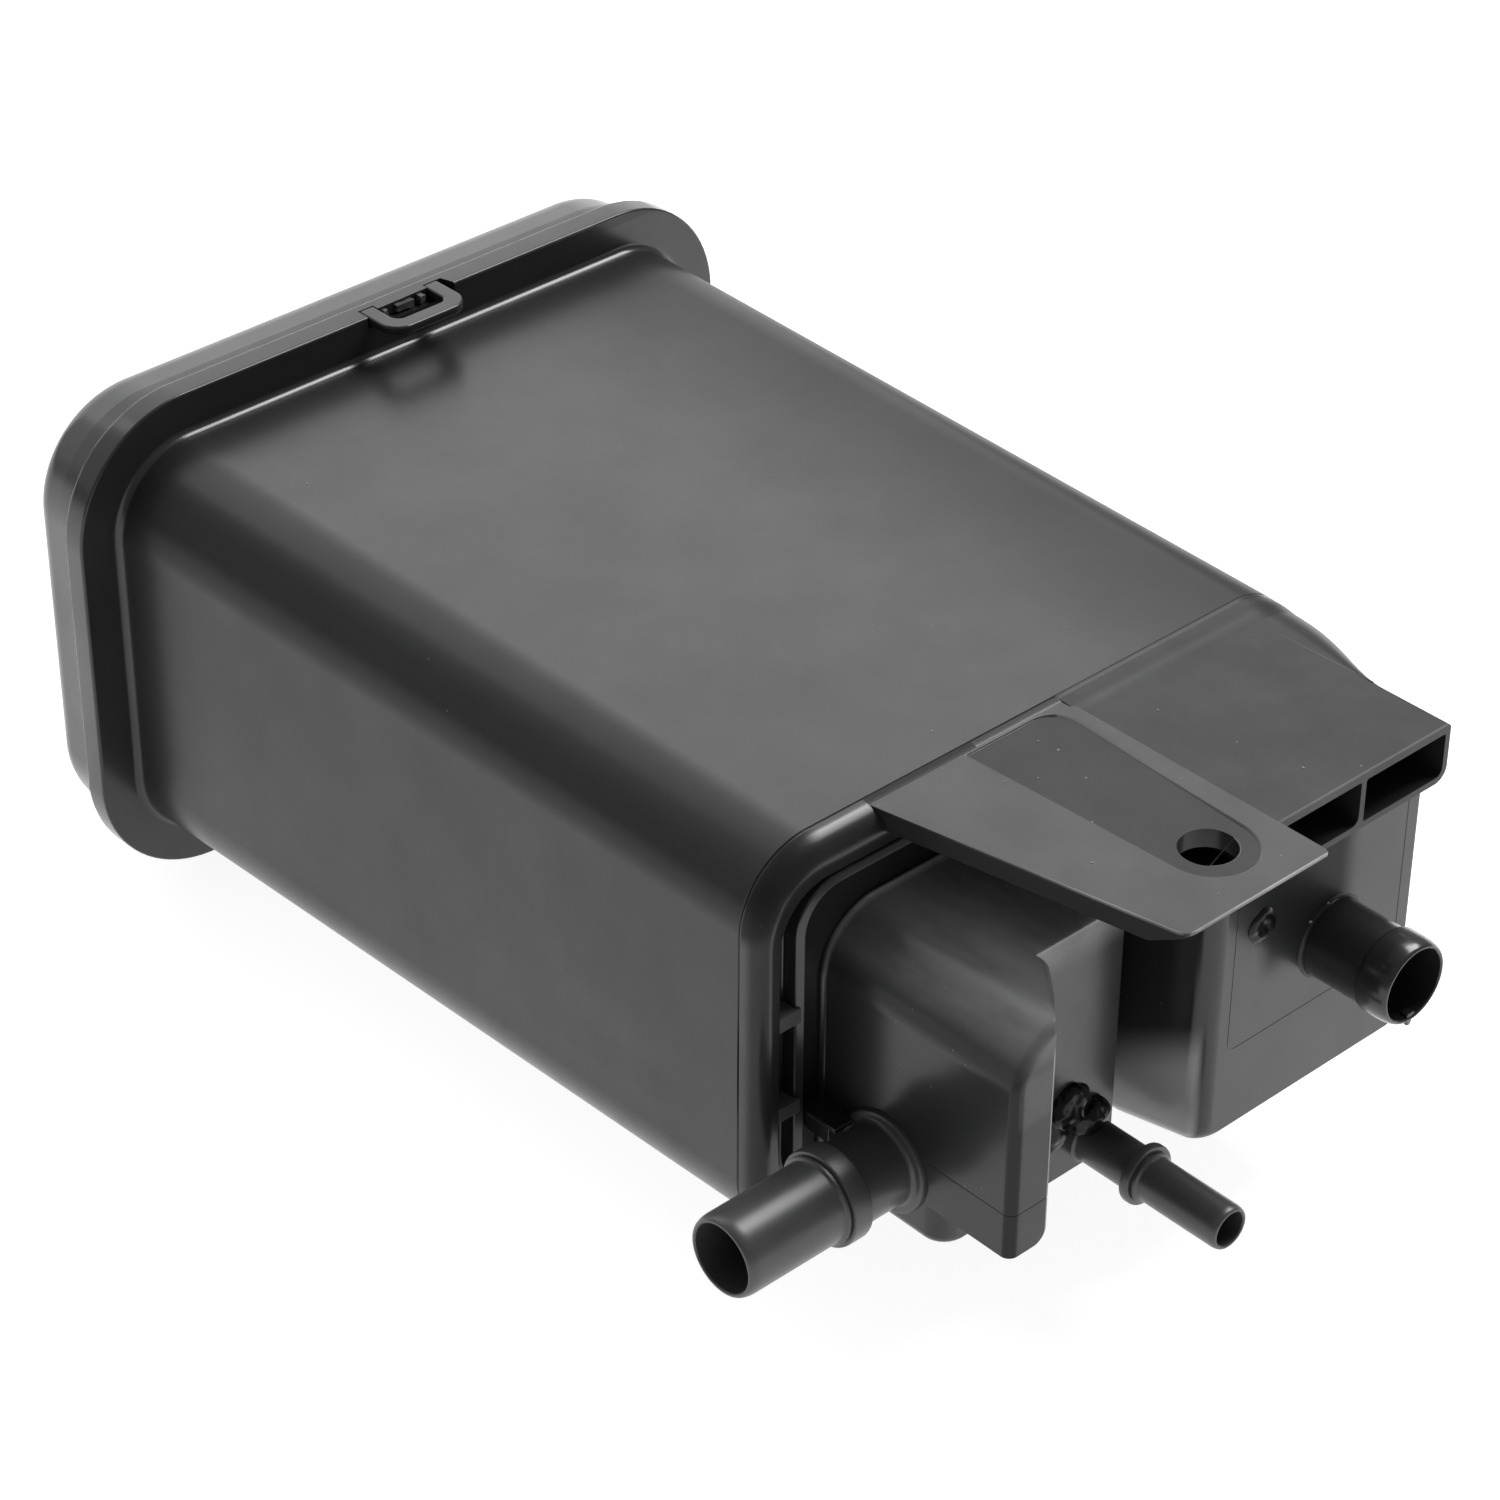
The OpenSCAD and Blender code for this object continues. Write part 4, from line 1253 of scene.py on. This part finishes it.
@dataclass
class VentDome:
    """The right dome, whose floor rises towards its front."""

    left: float = -2.4
    right: float = 53.2
    low: float = -31.8
    high: float = 30.4
    front: float = -48.5
    front_r: float = 1.0
    rise: float = 4.3
    rise_l: float = 20.0
    corner: float = 4.0
    root: float = -4.0
    fillet: float = 1.6
    radii: tuple[float, float, float, float] = (0.5, 0.5, 3.0, 3.0)

    def outline(self, y: float, inset: float = 0.0, corner: float = 0.0, rise: float = 0.0) -> Ring:
        """Gives the dome's outline, whose top stays in place.

        Args:
            y: Place along the body.
            inset: How far the other sides are drawn in.
            corner: How much more the left side is drawn in.
            rise: How far the floor is lifted.

        Returns:
            The ring.
        """
        low = self.low + rise + inset
        return Ring(y, self.left + inset + corner, self.right - inset, low, self.high, self.radii)

    def build(self) -> Form:
        """Builds the dome.

        Returns:
            The form.
        """
        rings = rooted(self.outline, self.root, self.fillet)
        rings.append(self.outline(self.front + self.rise_l))
        for a in arc(8):
            k, y = 1 - math.cos(a), self.corner * (1 - math.sin(a))
            inset, corner = self.front_r * k, (self.corner - self.front_r) * k
            rings.append(self.outline(self.front + y, inset, corner, self.rise * (1 - y / self.rise_l)))
        return Form().loft(rings, steps=10)


@dataclass
class Port:
    """A hose tube with a root fillet, a collar or an end bead, and an open bore."""

    root: Point
    along: Point
    outer: float
    bore: float
    length: float
    tip: float
    fillet: float
    collar: Flat = (0.0, 0.0)
    collar_r: float = 0.0
    bead_r: float = 0.0
    bead_l: float = 0.0
    boss: float = 0.0
    sunk: float = 1.3
    bore_end: float = -1.0

    def foot(self) -> list[Flat]:
        """Lists the section of the root: a boss if there is one, and the fillet.

        Returns:
            Pairs of radius and distance.
        """
        r, f, b = self.outer, self.fillet, self.boss
        wide = r + f + b
        out = [(wide, -self.sunk)]
        if b:
            out += [(wide, 0.5), (wide - 0.2, 0.85), (wide - 0.6, 1.0)]
        return out + [(r + f * (1 - math.sin(a)), b * 0.7 + f * (1 - math.cos(a))) for a in arc(5)]

    def ring(self) -> list[Flat]:
        """Lists the section of the collar and of the low step in front of it.

        Returns:
            Pairs of radius and distance.
        """
        r, k = self.outer, self.collar_r
        back, front = self.collar
        foot, soft, bend = r + 0.25, 0.5, 0.12
        out = [(r, back - 0.3), (foot, back), (k - soft, back), (k - bend, back + 0.14), (k, back + soft)]
        out += [(k, front - soft), (k - bend, front - 0.14), (k - soft, front), (foot, front - 0.1)]
        out += [(foot, front + 0.2), (r + 0.6, front + 0.3), (r + 0.6, front + 0.8)]
        return out + [(r + 0.1, front + 1.1), (r, front + 1.4)]

    def profile(self) -> list[Flat]:
        """Lists the half section, from the root out along the tube and back down its bore.

        Returns:
            Pairs of radius and distance.
        """
        r, end, bore = self.outer, self.length, self.bore
        out = self.foot() + (self.ring() if self.collar_r else [])
        tip, lip, chamfer = self.bead_r or r, bore + 0.2, 0.25
        if self.bead_r:
            start = end - self.bead_l
            out += [(r, start - 0.2), (r + 0.2, start), (tip - 0.15, start + 0.25), (tip, start + 0.7)]
        thick = tip - lip - chamfer
        out += [(tip - thick * (1 - math.cos(a)), end - self.tip * (1 - math.sin(a))) for a in arc(5)]
        out += [(lip, end), (bore, end - chamfer), (bore - 0.15, end * 0.5), (bore - 0.2, self.bore_end)]
        return out + [(0.0, self.bore_end)]

    def build(self) -> Form:
        """Builds the tube."""
        return Form().turned(self.root, self.along, self.profile())


@dataclass
class Bracket:
    """The bolt bracket plate with its recess and hole."""

    top: float = 42.2
    thick: float = 4.1
    reach: float = 64.6
    left: float = 41.0
    right: float = 7.6
    front_w: float = 36.0
    root: float = 1.0
    straight: float = 2.5
    tip_r: float = 3.0
    corner_r: float = 1.5
    lip: float = 0.5
    chamfer: float = 7.4
    hole: Flat = (-6.7, -49.4)
    hole_r: float = 5.4
    # How far below the top the drill starts, and its length
    drill: Flat = (8.0, 12.0)
    recess: float = 0.28
    recess_r: float = 9.5
    recess_w: float = 24.0
    recess_side: float = 2.5
    recess_back: float = -2.0
    recess_bend: float = 6.0
    recess_slope: Point = (0.9, 0.985, 1)
    rub: float = 2.6

    def hollow(self) -> Form:
        """Builds the tongue-shaped recess with its sloping walls.

        Returns:
            The form to cut away.
        """
        (cx, cy), r, bend = self.hole, self.recess_r, self.recess_bend
        edge, back = self.right - self.recess_side, self.recess_back
        tongue = [(cx + r * math.cos(a), cy + r * math.sin(a)) for a in arc(32, 180, 180)]
        tongue += [(edge - bend + bend * math.cos(a), back - bend + bend * math.sin(a)) for a in arc(8)]
        tongue += [(edge - self.recess_w, back)]
        form = Form().prism(tongue, self.top - self.recess, self.top + self.recess)
        return form.shrunk(self.top, self.recess_slope, ((edge + cx - r) / 2, cy / 2, 0))

    def build(self) -> Form:
        """Builds the plate, its tip and its cuts.

        Returns:
            The form.
        """
        tip, front = self.right - self.front_w, -self.reach
        corners = [(-self.left, self.root), (-self.left, -self.straight), (tip, front)]
        corners += [(self.right, front), (self.right, self.root)]
        outline = rounded(corners, (0, 0, self.tip_r, self.corner_r, 0), 8)
        form = Form().prism(outline, self.top - self.thick, self.top)
        form.halved((0, front, self.top - self.lip), (0, self.lip - self.thick, -self.chamfer))
        (down, long), r = self.drill, self.hole_r
        section = [(0, 0), (r, 0), (r, long), (0, long)]
        bolt = Form().turned((*self.hole, self.top - down), Way.UP.value, section)
        return form.less(self.hollow()).less(bolt)

    def rim(self) -> Form:
        """Builds the rubbed front rim of the hole.

        Returns:
            The form.
        """
        (cx, cy), r = self.hole, self.hole_r
        profile = [(r - 0.03, -0.3), (r - 0.02, 0.02), (r + 0.16, 0.03), (r + 0.2, -0.1)]
        form = Form().turned((cx, cy, self.top - self.recess), Way.UP.value, profile)
        return form.halved((cx, cy - self.rub, 0), (-0.3, 1, 0))


@dataclass
class Tunnel:
    """The box beside the bracket, open in two pockets at the front, that runs out of the body's shoulder."""

    left: float = 5.7
    right: float = 54.0
    front: float = -52.4
    root: float = 1.0
    low: float = 29.5
    high: float = 41.7
    roof: float = 1.9
    side: float = 1.3
    deep: float = 42.0
    start: float = 8.6
    edge: float = 1.2
    small: float = 0.3
    low_edge: float = 3.0
    spare: float = 0.5
    pocket_r: float = 0.5
    shoulder: float = 15.5
    out: float = 70.0
    begin: float = 5.0
    end: float = 36.0
    full: float = 0.72
    # Place along the body, place across it and half width of the ridge
    ridge_at: tuple[Point, ...] = (
        (-10.0, 53.2, 0.05), (-17.5, 53.0, 0.2), (-25.5, 53.3, 0.22), (-34.5, 53.55, 0.05)
    )
    ridge_deep: float = 1.2
    ridge_up: float = 0.02
    # Place along the body and height over the roof of the raised band
    band_at: tuple[Flat, ...] = (
        (0.6, 0.72), (-0.4, 0.72), (-2.6, 0.68), (-3.6, 0.6),
        (-4.8, 0.37), (-6.0, 0.13), (-7.0, 0.02), (-8.0, -0.1),
    )
    band_left: float = 6.5
    band_in: float = 0.06

    def ring(self, y: float, lift: float = 0.0) -> Ring:
        """Gives the outline, whose upper right edge grows into the body's shoulder towards the parting line.

        Args:
            y: Place along the body.
            lift: How far the top is raised.

        Returns:
            The ring.
        """
        t = max(0.0, min(1.0, (-y - self.begin) / (self.end - self.begin)))
        f = ((1 + math.cos(math.pi * t)) / 2) ** self.full
        r = self.edge + (self.shoulder - self.edge) * f
        low = min(self.low, self.high - r - self.low_edge - self.spare)
        right = self.right + (self.out - self.right) * f
        return Ring(y, self.left, right, low, self.high + lift, (r, self.small, self.small, self.low_edge))

    def build(self) -> Form:
        """Builds the box, its shoulder and its pockets.

        Returns:
            The form.
        """
        steps, r = 16, self.pocket_r
        span = self.end - self.begin
        stations = [self.root] + [-self.begin - span * i / steps for i in range(steps + 1)] + [self.front]
        form = Form().loft([self.ring(y) for y in stations])
        end = self.right - self.side
        width = (end - self.start - self.side) / 2
        low, high = self.low + self.side, self.high - self.roof
        for x in (self.start, end - width):
            mouth = Ring(self.front - 1, x, x + width, low, high, (r, r, r, self.low_edge - self.side))
            form.less(Form().loft([mouth, mouth.grown(0, self.front + self.deep)], steps=6))
        return form

    def ridge(self) -> Form:
        """Builds the fine pale ridge between the roof and the shoulder, whose paleness is a painted highlight
        along the crease.

        Returns:
            The form.
        """
        low, high = self.high - self.ridge_deep, self.high + self.ridge_up
        rings = [Ring(y, x - w, x + w, low, high, (w * 0.9, w * 0.9, 0.01, 0.01)) for y, x, w in self.ridge_at]
        return Form().loft(rings, steps=6)

    def band(self) -> Form:
        """Builds the raised band between the parting line and the roof.

        Returns:
            The form.
        """
        rings = [self.ring(y, lift) for y, lift in self.band_at]
        rings = [replace(ring, left=self.band_left, right=ring.right - self.band_in) for ring in rings]
        return Form().loft(rings, steps=18)


# Place and radius of the larger pale specks, partly dust and partly painted glints: on the body's top, in the
# recess, on the plate, on the tunnel's roof and, as painted glints, at the root of the vent port
SPECKS: tuple[tuple[float, float, float, float], ...] = (
    (-17.7, 6.7, 42.6, 0.26),
    (-49.3, 145.2, 44.75, 0.24),
    (-5.2, -7.4, 41.92, 0.21),
    (-4.6, -11.7, 41.92, 0.27),
    (-13.4, -15.4, 41.92, 0.19),
    (-7.2, -21.0, 41.92, 0.21),
    (-16.0, -30.9, 41.92, 0.19),
    (-18.8, -12.6, 42.2, 0.14),
    (-25.0, -39.5, 42.2, 0.27),
    (-40.4, -3.1, 42.2, 0.22),
    (4.6, -32.6, 42.2, 0.19),
    (23.5, -44.2, 41.7, 0.3),
    (18.0, -14.6, 41.7, 0.19),
    (20.9, -31.0, 41.7, 0.16),
    (31.5, -50.6, 41.7, 0.19),
    (23.6, -49.0, 10.75, 0.3),
    (28.2, -49.0, 12.68, 0.27),
)


@dataclass
class Trim:
    """Small forms: ribs, bridges, a nub, a nib, dark glossy lumps, a moulding line, flash and pale specks that
    are partly painted glints.
    """

    body: Body
    rib: tuple[Point, Point] = ((-58.5, -12.8, -14.9), (-52.0, -3.5, -13.9))
    web: tuple[Point, Point] = ((-56.9, -9.6, -20.0), (-55.7, -3.5, -15.0))
    rib_edge: tuple[Point, Point] = ((-58.6, -12.95, -14.35), (-52.0, -12.7, -13.85))
    bridges: Flat = (8.2, -11.8)
    bridge_half: float = 1.5
    bridge_l: float = 4.0
    flash_at: tuple[tuple[Point, Point], ...] = (
        ((-5.6, 175.6, 52.5), (-4.7, 177.4, 53.8)),
        ((-2.2, 175.7, 52.3), (2.0, 177.2, 53.7)),
        ((3.6, 175.4, 52.5), (4.8, 177.2, 53.85)),
        ((-13.6, 177.7, 53.0), (-10.3, 178.1, 53.95)),
    )
    nub_at: Point = (10.7, -48.5, 16.2)
    nub_section: tuple[Flat, ...] = (
        (3.7, -0.6), (3.5, 0.1), (3.0, 0.55), (2.2, 0.8), (1.4, 0.75), (0.7, 0.6), (0.0, 0.55)
    )
    root_lumps_at: tuple[tuple[Point, Point], ...] = (
        ((-22.0, -34.6, -15.5), (5.4, 2.6, 4.6)),
        ((-17.0, -35.2, -19.6), (4.3, 3.2, 3.7)),
        ((-25.0, -34.4, -19.5), (3.6, 2.0, 4.2)),
    )
    panel_edge: Ring = Ring(-48.4, 3.9, 49.5, -9.0, 27.5, (2.0, 2.0, 2.0, 2.0))
    panel_out: float = -48.56
    panel_w: float = 0.22
    nib_box: tuple[Point, Point] = ((29.3, -68.2, -5.2), (31.5, -66.2, -2.4))
    nib_tip: Point = (30.2, -67.8, -5.2)
    nib_taper: Point = (0.4, 0.4, 1)

    def ribs(self) -> Form:
        """Builds the rib and the web above the tank port."""
        return Form().box(*self.rib).box(*self.web)

    def worn_and_lit(self) -> Form:
        """Builds the pale faces: the bridges across the trench and the rib's front edge, pale partly as broken
        faces and partly as painted highlight on their lit faces.

        Returns:
            The form.
        """
        body, half = self.body, self.bridge_half
        side, y = -body.half_w + body.nose_w, -body.nose
        form = Form()
        for z in self.bridges:
            right = side + body.rim + body.trench_w + 0.8
            form.box((side + 0.4, y + 0.05, z - half), (right, y + self.bridge_l, z + half))
        return form.box(*self.rib_edge)

    def flash(self) -> Form:
        """Builds the ragged flash behind the window of the loop clip and beside the clip.

        Returns:
            The form.
        """
        form = Form()
        for corners in self.flash_at:
            form.box(*corners)
        bmesh.ops.subdivide_edges(form.bm, edges=form.bm.edges[:], cuts=3, use_grid_fill=True)
        return form.rough(0.8, 0.3)

    def nub(self) -> Form:
        """Builds the small round boss on the front of the vent dome."""
        return Form().turned(self.nub_at, Way.FRONT.value, self.nub_section, 36).rough(1.5, 0.25)

    def root_lumps(self) -> Form:
        """Builds the dark glossy lumps at the root of the purge port.

        Returns:
            The form.
        """
        form = Form()
        for spot, size in self.root_lumps_at:
            form.lump(spot, size, 5)
        return form.rough(2.6, 0.7).rough(1.3, 0.12)

    def panel(self) -> Form:
        """Builds the fine moulding line of the insert on the front of the vent dome.

        Returns:
            The form.
        """
        edge, out = self.panel_edge, self.panel_out
        rings = [edge, edge.grown(0, out), edge.grown(-self.panel_w, out), edge.grown(-self.panel_w)]
        return Form().loft(rings, steps=6, closed=False)

    def specks(self) -> Form:
        """Builds the larger specks and beads on the top and at the root of the vent port.

        Returns:
            The form.
        """
        # The pale specks are partly dust and partly painted glints; the two beads at the vent port's root are
        # painted glints.
        form, flat = Form(), 0.6
        for x, y, z, r in SPECKS:
            form.lump((x, y, z), (r, r, r * flat), 3)
        return form.rough(0.4, 0.06)

    def nib(self) -> Form:
        """Builds the moulding nib under the end of the vent port."""
        return Form().box(*self.nib_box).shrunk(-5, self.nib_taper, self.nib_tip)


# Studio


@dataclass(frozen=True)
class Lamp:
    """A soft square lamp by its direction from the body, its distance and side in metres and its watts."""

    name: str
    towards: Point
    away: float
    size: float
    power: float


@dataclass
class Studio:
    """Floor, soft light and the camera at the photo's angle."""

    azimuth: float = -42.799
    elevation: float = 34.304
    roll: float = 0.376
    focal: float = 4374.03
    distance: float = 876.13
    target: Point = (15.35, 90.0, -17.28)
    centre: Flat = (748.637, 743.494)
    frame: float = 1500.0
    sensor: float = 36.0
    clip: Flat = (0.01, 20.0)
    middle: Point = (0, 80, 0)
    floor_z: float = -54.6
    floor_half: float = 6.0
    sky_strength: float = 0.23
    lamps: tuple[Lamp, ...] = (
        Lamp("key", (0.56, -0.10, 0.82), 1.2, 0.6, 15.0),
        Lamp("panel", (0.34, 0.78, 0.55), 1.6, 2.0, 19.5),
        Lamp("fill", (-0.56, 0.6, 0.56), 1.8, 1.6, 3.4),
    )

    def camera(self) -> None:
        """Sets the camera."""
        a, e, k = (math.radians(v) for v in (self.azimuth, self.elevation, self.roll))
        back = Vector((math.sin(a) * math.cos(e), -math.cos(a) * math.cos(e), math.sin(e)))
        right = Vector((math.cos(a), math.sin(a), 0.0))
        up = back.cross(right)
        right, up = right * math.cos(k) + up * math.sin(k), up * math.cos(k) - right * math.sin(k)
        data = bpy.data.cameras.new("camera")
        data.sensor_width, data.sensor_height, data.sensor_fit = self.sensor, self.sensor, "AUTO"
        data.lens = self.focal * self.sensor / self.frame
        data.shift_x = (self.frame / 2 - self.centre[0]) / self.frame
        data.shift_y = (self.centre[1] - self.frame / 2) / self.frame
        data.clip_start, data.clip_end = self.clip
        obj = linked("camera", data)
        turn = Matrix((right, up, back)).transposed().to_4x4()
        obj.matrix_world = Matrix.Translation(place(*self.target) + back * self.distance * MM) @ turn
        bpy.context.scene.camera = obj

    def hang(self, lamp: Lamp) -> None:
        """Hangs a lamp so that it faces the body.

        Args:
            lamp: The lamp.
        """
        data = bpy.data.lights.new(lamp.name, "AREA")
        data.shape, data.size, data.energy = "SQUARE", lamp.size, lamp.power
        direction = Vector(lamp.towards).normalized()
        turn = direction.to_track_quat("Z", "Y").to_matrix().to_4x4()
        spot = place(*self.middle) + direction * lamp.away
        linked(lamp.name, data).matrix_world = Matrix.Translation(spot) @ turn

    def floor(self, material: bpy.types.Material) -> None:
        """Lays the floor.

        Args:
            material: Its finish.
        """
        form, (x, y, _) = Form(), self.middle
        spot = Matrix.Translation(place(x, y, self.floor_z))
        bmesh.ops.create_grid(form.bm, x_segments=1, y_segments=1, size=self.floor_half, matrix=spot)
        obj = form.piece("floor", material)

    def sky(self) -> None:
        """Sets an even white surrounding."""
        world = bpy.data.worlds.new("tent")
        bpy.context.scene.world = world
        world.use_nodes = True
        inputs = world.node_tree.nodes["Background"].inputs
        inputs["Color"].default_value = (1, 1, 1, 1)
        inputs["Strength"].default_value = self.sky_strength

    def build(self, materials: dict[Finish, bpy.types.Material]) -> None:
        """Builds the studio.

        Args:
            materials: All finishes.
        """
        self.floor(materials[Finish.FLOOR])
        self.sky()
        for lamp in self.lamps:
            self.hang(lamp)
        self.camera()
        bpy.context.scene.view_settings.view_transform = "Standard"


INSIDE: dict[str, Finish] = {
    "front_filter": Finish.FELT,
    "rear_filter": Finish.FELT,
    "carbon": Finish.CARBON,
    "pressure_plate": Finish.PLATE,
    "spring": Finish.SPRING,
}


def dress_inside(nodes: dict[str, bpy.types.Object], materials: dict[Finish, bpy.types.Material]) -> None:
    """Gives the pieces inside their finishes.

    Args:
        nodes: CAD pieces by name.
        materials: All finishes.
    """
    for name, obj in nodes.items():
        for ending, finish in INSIDE.items():
            if name.endswith(ending):
                obj.data.materials.clear()
                obj.data.materials.append(materials[finish])
                LOG.info("inside piece %s", name)


def settle(obj: bpy.types.Object, node: str) -> None:
    """Puts a finished piece in the place of its CAD node.

    Args:
        obj: The piece.
        node: Name of the node it stands for.
    """
    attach(obj, "root")
    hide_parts(node)
    LOG.info("piece %s: %d faces", obj.name, len(obj.data.polygons))


def main() -> None:
    """Builds every piece in order."""
    logging.basicConfig(level=logging.INFO)
    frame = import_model()
    materials = {f.finish: f.material() for f in FINISHES}
    shell, worn_and_lit, glossy = materials[Finish.SHELL], materials[Finish.WORN_AND_LIT], materials[Finish.GLOSSY]
    body, tank, vent = Body(), TankDome(), VentDome()
    cover, trim, bracket, tunnel = Cover(body), Trim(body), Bracket(), Tunnel()
    wall = (materials[Finish.WALL], *body.wall_skin)
    tank_port = Port(
        root=(tank.left, -20.3, -19.1), along=Way.LEFT.value, outer=8.0, bore=6.75, length=39.3,
        tip=2.4, fillet=0.9, collar=(11.8, 16.2), collar_r=9.4, boss=1.3,
    )
    purge_port = Port(
        root=(-15.4, tank.front, -26.3), along=Way.FRONT.value, outer=4.4, bore=3.4, length=34.0,
        tip=1.5, fillet=0.6, collar=(12.5, 14.5), collar_r=6.0,
    )
    vent_port = Port(
        root=(30.2, vent.front, 4.1), along=Way.FRONT.value, outer=7.9, bore=7.2, length=19.9,
        tip=3.6, fillet=0.7, bead_r=8.5, bead_l=7.0,
    )
    housing = [
        body.notched(cover.loop_w, cover.loop_bar).piece("housing_body", shell, middle=wall),
        tank.dome().piece("housing_tank_dome", materials[Finish.DOME]),
        tank.flag().piece("housing_flag", materials[Finish.DOME], 0.25, 50.0),
        vent.build().piece("housing_vent_dome", materials[Finish.VENT]),
        tank_port.build().piece("housing_tank_port", materials[Finish.PORT]),
        purge_port.build().piece("housing_purge_port", materials[Finish.PORT]),
        vent_port.build().piece("housing_vent_port", shell),
        bracket.build().piece("housing_bracket", materials[Finish.BRACKET], 0.25),
        bracket.rim().piece("housing_hole_rim", worn_and_lit),
        tunnel.build().piece("housing_tunnel", materials[Finish.TUNNEL], 0.3, 40.0),
        tunnel.ridge().piece("housing_ridge", worn_and_lit),
        tunnel.band().piece("housing_band", materials[Finish.TUNNEL]),
        trim.ribs().piece("housing_ribs", shell, 0.25),
        trim.worn_and_lit().piece("housing_worn_and_lit", worn_and_lit, 0.1),
        trim.nub().piece("housing_nub", glossy),
        trim.root_lumps().piece("housing_root_lumps", glossy),
        trim.panel().piece("housing_panel_line", materials[Finish.VENT]),
        trim.nib().piece("housing_nib", shell, 0.2),
        trim.specks().piece("housing_specks", materials[Finish.SPECK]),
    ]
    for obj in housing:
        settle(obj, "housing")
    rear = [
        cover.build().piece("cover_pan", shell),
        cover.loop().piece("cover_loop", shell, 0.5),
        cover.bead().piece("cover_weld", materials[Finish.WELD]),
        trim.flash().piece("cover_flash", materials[Finish.WELD]),
    ]
    for obj in rear:
        settle(obj, "rear_cover")
    dress_inside(frame["nodes"], materials)
    Studio().build(materials)
    bpy.context.view_layer.update()


if __name__ == "__main__":
    main()
